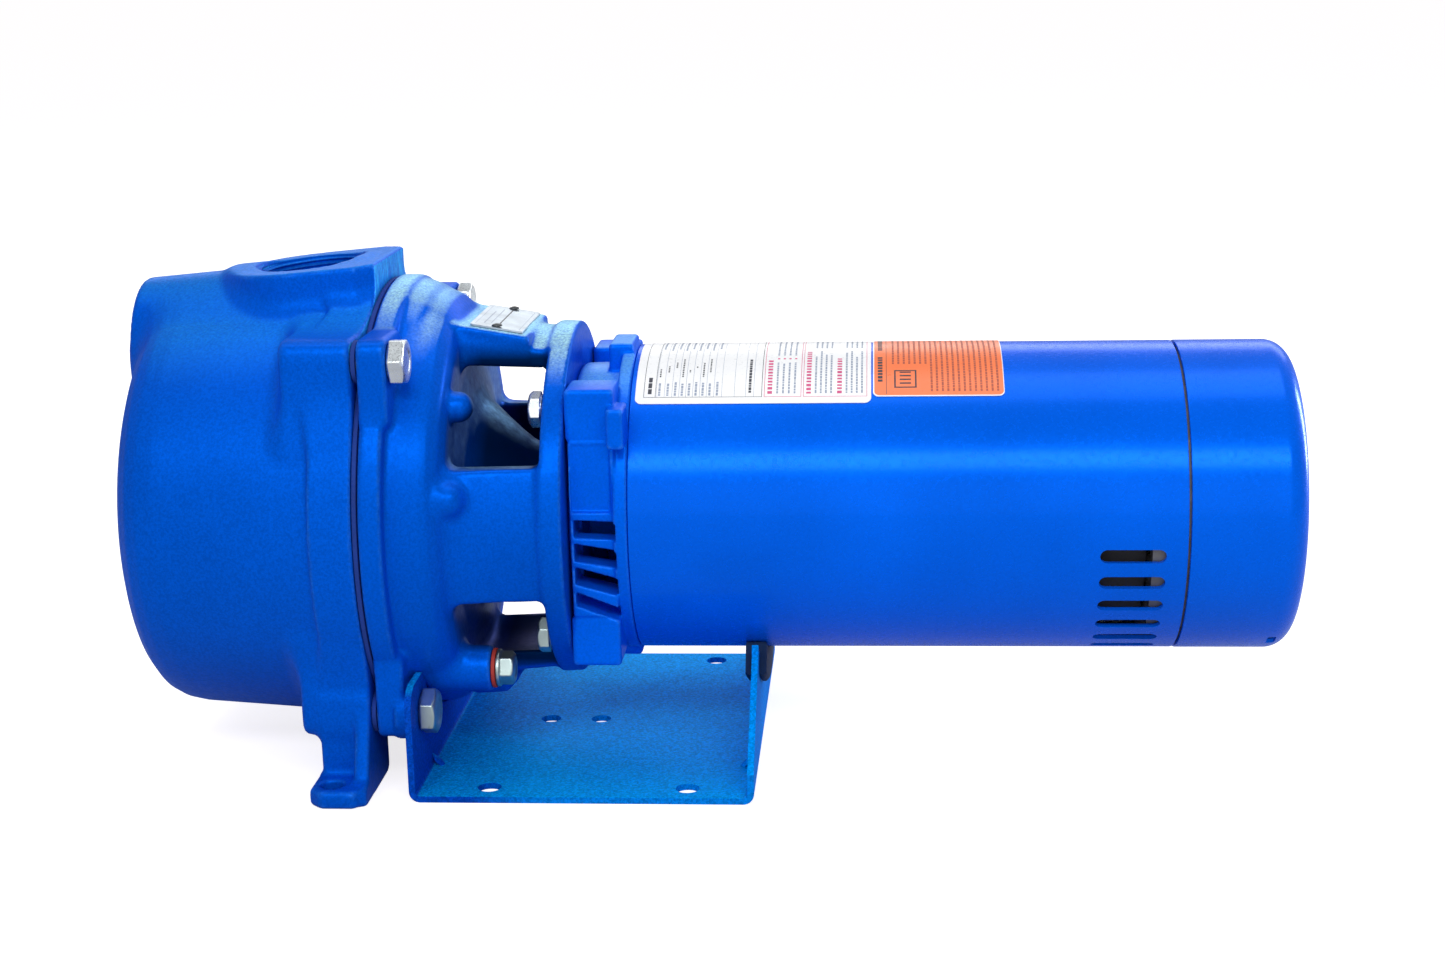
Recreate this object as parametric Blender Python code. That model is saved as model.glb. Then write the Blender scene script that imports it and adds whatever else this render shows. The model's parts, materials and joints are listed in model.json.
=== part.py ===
"""Self-priming centrifugal water pump with a close-coupled open drip-proof motor.

Frame: +X runs along the shaft from the pump casing to the motor's rear end, +Z is up.
The origin is on the ground plane, under the shaft, midway between the base's foot holes.
Lengths are written in millimetres times MM, so every stored length is in metres.
"""

from math import cos, pi, radians, sin, sqrt, tan

import bmesh
import bpy
from mathutils import Matrix, Vector

MM = 0.001
GAP = 0.3 * MM                  # clearance between touching pieces
WELD = 0.01 * MM                # merge distance for hairline cracks after a Boolean

# ---------------------------------------------------------------- driving dimensions
AXIS_Z = 115.6 * MM             # shaft height over the ground
ROUND = 40                      # sides of the large turned parts
FINE = 20                       # sides of the middle-sized turned parts
SMALL = 12                      # sides of the bolts and pins

# pump casing
TANK_END_X = -213.0 * MM
CASING_FACE_X = -97.0 * MM      # joint face of the casing
FLANGE_RADIUS = 105.8 * MM
EAR_HALF = 90.0 * MM            # half the distance across the bolt ears
CASING_BOLT_YZ = 80.0 * MM      # bolt position along Y and along Z
WALL_X = (-166.0 * MM, -160.0 * MM)
EYE_RADIUS = 20.0 * MM          # hole in the inner wall that feeds the impeller
PORT_RADIUS = 22.2 * MM
SUCTION_X = -214.0 * MM
SUCTION_RISE = 75.0 * MM        # suction port above the shaft
DISCHARGE_X = -134.2 * MM
DISCHARGE_RISE = 112.8 * MM     # height of the discharge face above the shaft, at the port
DISCHARGE_TILT = radians(4.9)
DISCHARGE_HALF = 37.5 * MM
EAR_CORNER = 7.0 * MM
EAR_INNER = 45.0 * MM
CHAMFER = 1.6 * MM              # widening at the mouth of a tapped port

# check valve and diffuser
FLAP_X = (-197.2 * MM, -194.2 * MM)
FLAP_PIN = (-192.4 * MM, 96.4 * MM)     # x, and height over the shaft
FLAP_RADIUS = 20.5 * MM
VALVE_PIN_RADIUS = 1.5 * MM
DIFFUSER_X = (-134.0 * MM, -130.0 * MM)
DIFFUSER_SCREW_R = 70.0 * MM
DIFFUSER_VANES = 8
IMPELLER_VANES = 6
IMPELLER_RADIUS = 58.0 * MM

# motor adapter
ADAPTER_FACE_X = -94.5 * MM
DIFFUSER_BACK_X = ADAPTER_FACE_X - GAP
EAR_BACK_X = -81.5 * MM
DISC_X = (-18.9 * MM, -8.9 * MM)
DISC_RADIUS = 83.0 * MM
REGISTER_RADIUS = 57.15 * MM    # half of the 4.5 in motor register
MOTOR_BOLT_YZ = 52.75 * MM      # half of the 5.875 in bolt circle, along Y and along Z
ARM_HALF = 30.0 * MM
BUMP_CIRCLE = 79.5 * MM         # radius at which the four cast bumps sit
BUMP_ANGLES = (166.0, 137.0, -14.0, -43.0)
DRAIN_YZ = (-58.0 * MM, -67.0 * MM)
DRAIN_FACE_X = -46.5 * MM
DRAIN_STEM = 5.0 * MM
DRAIN_COLLAR = 8.6 * MM
DRAIN_HEX = 7.9 * MM            # corner radius of the plug's head
PLATE_X = (-55.5 * MM, -31.5 * MM)
PLATE_HALF_Y = 27.5 * MM
PLATE_SLOPE = radians(9.8)
PLATE_TOP = 86.6 * MM           # pad height over the shaft at the plate's pump side
PLATE_PINS = ((-43.5 * MM, -24.5 * MM), (-43.5 * MM, 24.5 * MM))

# base
BASE_X = (-79.0 * MM, 75.0 * MM)
BASE_HALF_Y = 101.8 * MM
SHEET = 3.0 * MM
FOOT_HOLE_X = 44.6 * MM
FOOT_HOLE_Y = 90.15 * MM
FOOT_HOLE_RADIUS = 5.3 * MM
PLATE_HOLES = ((-29.9 * MM, 0.0), (-5.3 * MM, 0.0))
PLATE_HOLE_RADIUS = 4.8 * MM
SADDLE_RADIUS = 77.0 * MM
FLANGE_ARC_RADIUS = 99.5 * MM
BEND = 5.0 * MM                 # outside radius of the sheet's bends
FLANGE_TOP = 58 * MM
PAD_OUTER = 88 * MM
PAD_HALF_ANGLE = radians(33)

# motor
SHELL_RADIUS = 71.5 * MM
SHELL_X = (19.1 * MM, 265.4 * MM)
SHELL_WALL = 2.0 * MM
CAP_END_X = 318.0 * MM
FRONT_BEARING_X = (2.0 * MM, 14.0 * MM)
REAR_BEARING_X = (256.0 * MM, 268.0 * MM)
BEARING_OUTER = 20.0 * MM
BEARING_BORE = 8.5 * MM
VENT_X = (226.9 * MM, 255.8 * MM)
VENT_ANGLES = tuple(radians(-8.9 - 10.7 * i) for i in range(6))
VENT_WIDTH = 6.4 * MM
TIE_ROD_RADIUS = 64.8 * MM
TIE_ROD = 2.5 * MM              # radius of the rods
STATOR_X = (88.0 * MM, 192.0 * MM)
GOVERNOR_X = (216.0 * MM, 229.0 * MM)
FAN_BLADES = 8
CAP_CORNER = 10.0 * MM
CAP_WALL = 1.6 * MM
CAP_SCREW = 2.4 * MM
CAP_SCREWS = ((-34.0 * MM, AXIS_Z), (34.0 * MM, AXIS_Z))
LABEL_GAP = 0.15 * MM
LABEL_THICKNESS = 0.25 * MM
MOTOR_LABEL = ((21.2 * MM, 127.0 * MM), (48.5, 112.0))      # x range, angles up from the near side
WARNING_LABEL = ((127.8 * MM, 186.2 * MM), (51.3, 104.0))

# fasteners
CASING_BOLT = dict(shank=6.35 * MM, flats=19.0 * MM, head=7.6 * MM)
MOTOR_BOLT = dict(shank=4.75 * MM, flats=14.3 * MM, head=6.2 * MM)

BLUE = (0.0, 0.16, 0.78, 1.0)
ZINC = (0.62, 0.64, 0.66, 1.0)


# ---------------------------------------------------------------- materials
def material(name, colour, roughness, metallic=0.0):
    """A Principled BSDF material."""
    made = bpy.data.materials.new(name)
    made.use_nodes = True
    shader = made.node_tree.nodes["Principled BSDF"]
    shader.inputs["Base Color"].default_value = colour
    shader.inputs["Roughness"].default_value = roughness
    shader.inputs["Metallic"].default_value = metallic
    return made


def make_materials():
    """All materials, by name."""
    return {
        "cast_paint": material("cast_paint", BLUE, 0.45),
        "motor_paint": material("motor_paint", BLUE, 0.25),
        "sheet_paint": material("sheet_paint", BLUE, 0.4),
        "zinc_steel": material("zinc_steel", ZINC, 0.35, 1.0),
        "plain_steel": material("plain_steel", (0.5, 0.5, 0.52, 1.0), 0.3, 1.0),
        "rubber": material("rubber", (0.02, 0.022, 0.025, 1.0), 0.8),
        "red_fibre": material("red_fibre", (0.45, 0.05, 0.03, 1.0), 0.7),
        "gasket_paper": material("gasket_paper", (0.05, 0.06, 0.09, 1.0), 0.9),
        "moulded_plastic": material("moulded_plastic", (0.06, 0.06, 0.07, 1.0), 0.5),
        "cast_iron": material("cast_iron", (0.2, 0.2, 0.21, 1.0), 0.6, 0.6),
        "brass": material("brass", (0.7, 0.5, 0.2, 1.0), 0.3, 1.0),
        "ceramic": material("ceramic", (0.85, 0.83, 0.78, 1.0), 0.3),
        "carbon": material("carbon", (0.03, 0.03, 0.03, 1.0), 0.5),
        "lamination": material("lamination", (0.3, 0.3, 0.32, 1.0), 0.5, 0.8),
        "copper": material("copper", (0.6, 0.25, 0.1, 1.0), 0.4, 0.9),
        "white_label": material("white_label", (0.9, 0.9, 0.9, 1.0), 0.4),
        "orange_label": material("orange_label", (0.9, 0.3, 0.1, 1.0), 0.4),
        "name_plate": material("name_plate", (0.75, 0.76, 0.78, 1.0), 0.3, 0.9),
    }


# ---------------------------------------------------------------- mesh helpers
def finish(name, bm, mat, smooth_angle=35.0):
    """Turn a bmesh into a named object with its faces pointing out."""
    bmesh.ops.recalc_face_normals(bm, faces=bm.faces)
    mesh = bpy.data.meshes.new(name)
    bm.to_mesh(mesh)
    bm.free()
    mesh.materials.append(mat)
    mesh.shade_smooth()
    mesh.set_sharp_from_angle(angle=radians(smooth_angle))
    obj = bpy.data.objects.new(name, mesh)
    bpy.context.scene.collection.objects.link(obj)
    return obj


def lathe(name, profile, mat, sides=FINE, y=0.0, z=AXIS_Z):
    """Turn a closed (x, radius) profile about a line along X through (y, z)."""
    bm = bmesh.new()
    rings = []
    for x, radius in profile:
        if radius < 1e-7:
            rings.append([bm.verts.new((x, y, z))])
            continue
        ring = []
        for i in range(sides):
            angle = 2 * pi * i / sides
            ring.append(bm.verts.new((x, y + radius * cos(angle), z + radius * sin(angle))))
        rings.append(ring)
    for first, second in zip(rings, rings[1:] + rings[:1]):
        if len(first) == 1 and len(second) == 1:
            continue
        for i in range(sides):
            j = (i + 1) % sides
            corners = [first[i % len(first)], first[j % len(first)],
                       second[j % len(second)], second[i % len(second)]]
            unique = list(dict.fromkeys(corners))
            bm.faces.new(unique)
    return finish(name, bm, mat)


def tube(x0, x1, inner, outer):
    """Profile of a plain ring."""
    return [(x0, inner), (x1, inner), (x1, outer), (x0, outer)]


def rod(x0, x1, radius):
    """Profile of a plain solid cylinder."""
    return [(x0, 0.0), (x0, radius), (x1, radius), (x1, 0.0)]


def prism(name, outline, low, high, mat, axis="Z"):
    """Extrude a closed outline along an axis. The outline holds the other two coordinates,
    in X, Y, Z order. low and high are numbers, or functions of the outline's point."""
    place = {
        "X": lambda a, b, c: (c, a, b),
        "Y": lambda a, b, c: (a, c, b),
        "Z": lambda a, b, c: (a, b, c),
    }[axis]
    bm = bmesh.new()
    ends = []
    for level in (low, high):
        depth = level if callable(level) else (lambda point, fixed=level: fixed)
        ends.append([bm.verts.new(place(*point, depth(point))) for point in outline])
    bm.faces.new(ends[0])
    bm.faces.new(ends[1])
    count = len(outline)
    for i in range(count):
        j = (i + 1) % count
        bm.faces.new((ends[0][i], ends[0][j], ends[1][j], ends[1][i]))
    return finish(name, bm, mat)


def box(name, xs, ys, zs, mat):
    """A block between two corners."""
    outline = [(xs[0], ys[0]), (xs[1], ys[0]), (xs[1], ys[1]), (xs[0], ys[1])]
    return prism(name, outline, zs[0], zs[1], mat)


def arc(cx, cy, radius, start, stop, steps):
    """Points along an arc, angles in degrees."""
    points = []
    for i in range(steps + 1):
        angle = radians(start + (stop - start) * i / steps)
        points.append((cx + radius * cos(angle), cy + radius * sin(angle)))
    return points


def turn(obj, matrix):
    """Transform an object's mesh."""
    obj.data.transform(matrix)
    return obj


def about(point, axis, angle):
    """Rotation matrix about an axis through a point."""
    return (Matrix.Translation(Vector(point)) @ Matrix.Rotation(angle, 4, axis)
            @ Matrix.Translation(-Vector(point)))


def combine(target, tool, operation):
    """Add a Boolean to the target, weld its hairline cracks and hide its tool."""
    step = target.modifiers.new(tool.name, "BOOLEAN")
    step.operation = operation
    step.solver = "EXACT"
    step.object = tool
    weld = target.modifiers.new("weld_" + tool.name, "WELD")
    weld.merge_threshold = WELD
    tool.hide_render = True
    tool.display_type = "WIRE"
    return target


def add(target, *tools):
    for tool in tools:
        combine(target, tool, "UNION")
    return target


def cut(target, *tools):
    for tool in tools:
        combine(target, tool, "DIFFERENCE")
    return target


def set_origin(obj, point):
    """Move an object's origin without moving its surface."""
    offset = Vector(point)
    obj.data.transform(Matrix.Translation(-offset))
    obj.location = offset
    return obj


def corners_yz(offset):
    """The four (y, z) places of a square pattern about the shaft, with a number for each."""
    return [(1, -offset, offset), (2, -offset, -offset), (3, offset, offset), (4, offset, -offset)]


def hex_bolt(name, head_x, tip_x, y, z, size, mat, twist=0.0):
    """Hex bolt along X: its head starts at head_x and points to +X, its shank ends at tip_x."""
    bm = bmesh.new()
    corner = size["flats"] / sqrt(3)
    profile = [(tip_x, size["shank"] - 0.8 * MM), (tip_x + 1.0 * MM, size["shank"]),
               (head_x, size["shank"])]
    rings = []
    for x, radius in profile:
        rings.append([bm.verts.new((x, y + radius * cos(2 * pi * i / SMALL),
                                    z + radius * sin(2 * pi * i / SMALL)))
                      for i in range(SMALL)])
    for x, shrink in ((head_x, 1.0), (head_x + size["head"] * 0.82, 1.0), (head_x + size["head"], 0.86)):
        rings.append([bm.verts.new((x, y + shrink * corner * cos(pi * i / 3 + twist),
                                    z + shrink * corner * sin(pi * i / 3 + twist)))
                      for i in range(6)])
    bm.faces.new(rings[0])
    bm.faces.new(rings[-1])
    for first, second in ((0, 1), (1, 2), (3, 4), (4, 5)):
        count = len(rings[first])
        for i in range(count):
            j = (i + 1) % count
            bm.faces.new((rings[first][i], rings[first][j], rings[second][j], rings[second][i]))
    edges = []
    for ring in (rings[2], rings[3]):
        for i in range(len(ring)):
            edges.append(bm.edges.get((ring[i], ring[(i + 1) % len(ring)])))
    bmesh.ops.bridge_loops(bm, edges=edges)
    bmesh.ops.triangulate(bm, faces=[f for f in bm.faces if len(f.verts) > 4])
    return finish(name, bm, mat)


# ---------------------------------------------------------------- pump casing
def discharge_height(x):
    """Height of the sloping top of the casing."""
    return AXIS_Z + DISCHARGE_RISE + tan(DISCHARGE_TILT) * (x - DISCHARGE_X)


def pump_casing(mats):
    """Cast tank with an inner wall, both tapped ports, four bolt ears and two feet."""
    paint = mats["cast_paint"]
    tank = [(TANK_END_X, 0.0), (-212.6 * MM, 45 * MM), (-210.5 * MM, 72 * MM), (-207.5 * MM, 84 * MM),
            (-203.5 * MM, 91 * MM), (-198.5 * MM, 95.2 * MM), (-191.5 * MM, 97.2 * MM),
            (-112 * MM, 103 * MM), (-110 * MM, FLANGE_RADIUS), (CASING_FACE_X, FLANGE_RADIUS),
            (CASING_FACE_X, 0.0)]
    casing = lathe("pump_casing", tank, paint, ROUND)

    ear_outline = [(EAR_INNER, EAR_INNER), (EAR_HALF, EAR_INNER)]
    ear_outline += arc(EAR_HALF - EAR_CORNER, EAR_HALF - EAR_CORNER + 1 * MM, EAR_CORNER, 0, 90, 4)[1:]
    ear_outline += [(EAR_INNER, EAR_HALF)]
    for number, y, z in corners_yz(1.0):
        outline = [(y * a, AXIS_Z + z * b) for a, b in ear_outline]
        add(casing, prism(f"tool_casing_ear_{number}", outline, -129.5 * MM, CASING_FACE_X, paint, "X"))

    boss = [(SUCTION_X, 0.0), (SUCTION_X, 29.5 * MM), (-212.5 * MM, 31 * MM), (-110 * MM, 40 * MM),
            (-110 * MM, 0.0)]
    add(casing, lathe("tool_suction_boss", boss, paint, 32, z=AXIS_Z + SUCTION_RISE))

    plan = arc(DISCHARGE_X, 0.0, DISCHARGE_HALF, 90, 270, 16)
    plan += [(CASING_FACE_X - 8 * MM, -DISCHARGE_HALF), (CASING_FACE_X, -DISCHARGE_HALF + 8 * MM),
             (CASING_FACE_X, DISCHARGE_HALF - 8 * MM), (CASING_FACE_X - 8 * MM, DISCHARGE_HALF)]
    add(casing, prism("tool_discharge_block", plan, AXIS_Z + 60 * MM,
                      lambda point: discharge_height(point[0]), paint))

    for side in (-1, 1):
        add(casing, *casing_foot(side, paint))

    right_chamber = [(WALL_X[1], 0.0), (WALL_X[1], 84 * MM), (-152 * MM, 88 * MM),
                     (CASING_FACE_X + 3 * MM, 91 * MM), (CASING_FACE_X + 3 * MM, 0.0)]
    left_chamber = [(-206 * MM, 0.0), (-205 * MM, 55 * MM), (-201 * MM, 76 * MM), (-195 * MM, 85 * MM),
                    (WALL_X[0], 87 * MM), (WALL_X[0], 0.0)]
    z_port = AXIS_Z + SUCTION_RISE
    cut(casing,
        lathe("tool_discharge_chamber", right_chamber, paint, 32),
        lathe("tool_suction_chamber", left_chamber, paint, 32),
        lathe("tool_eye_hole", rod(WALL_X[0] - 4 * MM, WALL_X[1] + 4 * MM, EYE_RADIUS), paint, FINE),
        lathe("tool_suction_port", suction_bore(), paint, 32, z=z_port))

    port = lathe("tool_discharge_port", discharge_bore(), paint, 32, z=0.0)
    turn(port, Matrix.Rotation(-pi / 2, 4, "Y"))
    turn(port, Matrix.Rotation(-DISCHARGE_TILT, 4, "Y"))
    turn(port, Matrix.Translation((DISCHARGE_X, 0.0, AXIS_Z + DISCHARGE_RISE)))
    cut(casing, port)

    for number, y, z in corners_yz(CASING_BOLT_YZ):
        hole = rod(-126 * MM, CASING_FACE_X + 5 * MM, CASING_BOLT["shank"] + GAP)
        cut(casing, lathe(f"tool_casing_hole_{number}", hole, paint, SMALL, y, AXIS_Z + z))
    return casing


def suction_bore():
    """Tapped mouth, then the wider pocket that holds the check valve."""
    return [(SUCTION_X - 5 * MM, 0.0), (SUCTION_X - 5 * MM, PORT_RADIUS + CHAMFER),
            (SUCTION_X + 0.6 * MM, PORT_RADIUS + CHAMFER), (SUCTION_X + 2.4 * MM, PORT_RADIUS),
            (-201.5 * MM, PORT_RADIUS), (-201.5 * MM, 26 * MM), (-163 * MM, 26 * MM), (-163 * MM, 20 * MM),
            (-163 * MM, 0.0)]


def discharge_bore():
    """Tapped discharge mouth along X, to be turned upright: x is the height over the face."""
    return [(5 * MM, 0.0), (5 * MM, PORT_RADIUS + CHAMFER), (-0.6 * MM, PORT_RADIUS + CHAMFER),
            (-2.4 * MM, PORT_RADIUS), (-45 * MM, PORT_RADIUS), (-45 * MM, 0.0)]


def casing_foot(side, paint):
    """Outward foot under a lower ear: a solid root, a thin web and a toe with an open recess."""
    face = CASING_FACE_X
    name = "near" if side < 0 else "far"
    root = box(f"tool_foot_root_{name}", (-120.5 * MM, face), sorted((side * 60 * MM, side * 89.5 * MM)),
               (0.0, 45 * MM), paint)
    web_outline = [(62, 44), (89.5, 44), (94.5, 26), (100.0, 9.0), (107.0, 4.0), (107.0, 1.0), (62, 1.0)]
    web = prism(f"tool_foot_web_{name}", [(side * a * MM, b * MM) for a, b in web_outline],
                -103.5 * MM, face, paint, "X")
    toe_outline = [(face, 62), (face, 106), (-101.5 * MM, 111.5), (-117 * MM, 111.5), (-122.5 * MM, 106),
                   (-122.5 * MM, 62)]
    toe = prism(f"tool_foot_toe_{name}", [(x, side * y * MM) for x, y in toe_outline], 0.0, 8.6 * MM, paint)
    return root, web, toe


def casing_gasket(mats):
    """Flat gasket between the casing and the adapter."""
    profile = tube(CASING_FACE_X + GAP, ADAPTER_FACE_X - GAP, 91.5 * MM, 103.5 * MM)
    return lathe("casing_gasket", profile, mats["gasket_paper"], ROUND)


def casing_bolts(mats):
    """Four bolts from the motor side: two bear on the ears, two on the base's flange."""
    for number, y, z in corners_yz(CASING_BOLT_YZ):
        seat = EAR_BACK_X if z > 0 else BASE_X[0] + SHEET
        twist = radians(8 if z > 0 else 28) + number * radians(3)
        hex_bolt(f"casing_bolt_{number}", seat + GAP, -124 * MM, y, AXIS_Z + z, CASING_BOLT,
                 mats["zinc_steel"], twist)


# ---------------------------------------------------------------- check valve
def check_valve(mats):
    """Brass seat, rubber flap with its weight, and the flap's pin."""
    z_port = AXIS_Z + SUCTION_RISE
    seat = tube(-201.2 * MM, FLAP_X[0] - GAP, 17.5 * MM, 25.7 * MM)
    lathe("check_valve_seat", seat, mats["brass"], FINE, z=z_port)

    flap = lathe("check_valve_flap", rod(FLAP_X[0], FLAP_X[1], FLAP_RADIUS), mats["rubber"], FINE, z=z_port)
    pin_z = AXIS_Z + FLAP_PIN[1]
    arm = box("tool_flap_arm", (FLAP_X[0] + 0.4 * MM, FLAP_X[1] + 2.2 * MM), (-5 * MM, 5 * MM),
              (z_port + 8 * MM, pin_z + 1 * MM), mats["rubber"])
    knuckle = turned_y("tool_flap_knuckle", FLAP_PIN[0], pin_z, 2.5 * MM, 5 * MM, mats["rubber"])
    weight = lathe("tool_flap_weight", rod(FLAP_X[1] - 0.5 * MM, FLAP_X[1] + 13.2 * MM, 11 * MM),
                   mats["rubber"], 24, z=z_port)
    add(flap, arm, knuckle, weight)
    cut(flap, turned_y("tool_flap_bore", FLAP_PIN[0], pin_z, VALVE_PIN_RADIUS + 0.05 * MM, 9 * MM,
                       mats["rubber"], SMALL))
    set_origin(flap, (FLAP_PIN[0], 0.0, pin_z))

    turned_y("check_valve_pin", FLAP_PIN[0], pin_z, VALVE_PIN_RADIUS, 10.5 * MM, mats["brass"], SMALL)


def turned_y(name, x, z, radius, half, mat, sides=24):
    """A cylinder along Y."""
    outline = arc(x, z, radius, 0, 360, sides)[:-1]
    return prism(name, outline, -half, half, mat, "Y")


# ---------------------------------------------------------------- diffuser and impeller
def curved_vane(name, inner, outer, start, sweep, thickness, xs, mat, steps=6):
    """A backward-curved vane standing along X between two radii."""
    left, right = [], []
    for i in range(steps + 1):
        t = i / steps
        radius = inner + (outer - inner) * t
        angle = start + sweep * t
        half = 0.5 * thickness / radius
        left.append((radius * cos(angle + half), AXIS_Z + radius * sin(angle + half)))
        right.append((radius * cos(angle - half), AXIS_Z + radius * sin(angle - half)))
    return prism(name, left + right[::-1], xs[0], xs[1], mat, "X")


def diffuser(mats):
    """Plastic diffuser: suction tube, plate, eight guide vanes and two screw columns."""
    plastic = mats["moulded_plastic"]
    profile = [(-164.5 * MM, 16 * MM), (-164.5 * MM, EYE_RADIUS - 0.5 * MM),
               (DIFFUSER_X[0], EYE_RADIUS - 0.5 * MM), (DIFFUSER_X[0], 80 * MM),
               (DIFFUSER_X[1], 80 * MM), (DIFFUSER_X[1], 18.6 * MM), (-134.5 * MM, 18.6 * MM),
               (-134.5 * MM, 16 * MM)]
    body = lathe("diffuser", profile, plastic, 32)
    for i in range(DIFFUSER_VANES):
        start = 2 * pi * i / DIFFUSER_VANES + radians(20)
        add(body, curved_vane(f"tool_diffuser_vane_{i}", 61 * MM, 79 * MM, start, radians(24), 4 * MM,
                              (DIFFUSER_X[0] + 1 * MM, DIFFUSER_BACK_X), plastic, 3))
    for side in (-1, 1):
        column = rod(DIFFUSER_X[0] + 0.5 * MM, DIFFUSER_BACK_X, 7 * MM)
        add(body, lathe(f"tool_diffuser_column_{side}", column, plastic, SMALL, side * DIFFUSER_SCREW_R))
    for side in (-1, 1):
        hole = rod(DIFFUSER_X[0] - 5 * MM, DIFFUSER_BACK_X + 5 * MM, 3.3 * MM)
        cut(body, lathe(f"tool_diffuser_hole_{side}", hole, plastic, SMALL, side * DIFFUSER_SCREW_R))
    return body


def diffuser_screws(mats):
    """Two long screws that hold the diffuser to the adapter."""
    for number, side in ((1, -1), (2, 1)):
        head = DIFFUSER_X[0] - GAP
        profile = [(head - 4 * MM, 0.0), (head - 4 * MM, 5 * MM), (head, 5.5 * MM), (head, 3 * MM),
                   (-86 * MM, 3 * MM), (-86 * MM, 0.0)]
        lathe(f"diffuser_screw_{number}", profile, mats["zinc_steel"], SMALL, side * DIFFUSER_SCREW_R)


def impeller(mats):
    """Shrouded impeller with six backward-curved vanes."""
    iron = mats["cast_iron"]
    back = [(-122 * MM, 8 * MM), (-122 * MM, 12 * MM), (-108.5 * MM, 14 * MM), (-107 * MM, IMPELLER_RADIUS),
            (-104 * MM, IMPELLER_RADIUS), (-104 * MM, 13.5 * MM), (-100.3 * MM, 13.5 * MM), (-100.3 * MM, 8 * MM)]
    wheel = lathe("impeller", back, iron, 32)
    front = [(-134 * MM, 15.5 * MM), (-134 * MM, 18.1 * MM), (-127.5 * MM, 18.1 * MM),
             (-120.5 * MM, IMPELLER_RADIUS), (-117.5 * MM, IMPELLER_RADIUS), (-124 * MM, 15.5 * MM)]
    add(wheel, lathe("tool_front_shroud", front, iron, 32))
    for i in range(IMPELLER_VANES):
        start = 2 * pi * i / IMPELLER_VANES
        add(wheel, curved_vane(f"tool_impeller_vane_{i}", 19 * MM, 57.4 * MM, start, radians(-62), 3 * MM,
                               (-119 * MM, -106 * MM), iron, 4))
    return set_origin(wheel, (-110 * MM, 0.0, AXIS_Z))


# ---------------------------------------------------------------- seal
def shaft_seal(mats):
    """Stationary seat in the adapter, spring-loaded carbon head behind the impeller."""
    lathe("seal_seat", tube(-84.0 * MM, -78.0 * MM, 9.6 * MM, 18.8 * MM), mats["ceramic"], FINE)
    head = [(-90.5 * MM, 8.3 * MM), (-84.3 * MM, 8.3 * MM), (-84.3 * MM, 13.5 * MM), (-86 * MM, 16.5 * MM),
            (-90.5 * MM, 16.5 * MM)]
    set_origin(lathe("seal_head", head, mats["carbon"], FINE), (-87 * MM, 0.0, AXIS_Z))

    wire, radius, turns, per_turn, sides = 0.9 * MM, 12.6 * MM, 3, 12, 4
    x0, x1 = -99.0 * MM, -91.8 * MM
    bm = bmesh.new()
    rings = []
    for i in range(turns * per_turn + 1):
        angle = 2 * pi * i / per_turn
        x = x0 + (x1 - x0) * i / (turns * per_turn)
        ring = []
        for k in range(sides):
            section = 2 * pi * k / sides
            r = radius + wire * cos(section)
            ring.append(bm.verts.new((x + wire * sin(section), r * cos(angle), AXIS_Z + r * sin(angle))))
        rings.append(ring)
    for first, second in zip(rings, rings[1:]):
        for k in range(sides):
            m = (k + 1) % sides
            bm.faces.new((first[k], first[m], second[m], second[k]))
    bm.faces.new(rings[0])
    bm.faces.new(rings[-1])
    set_origin(finish("seal_spring", bm, mats["plain_steel"], 60.0), (-95 * MM, 0.0, AXIS_Z))


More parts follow.
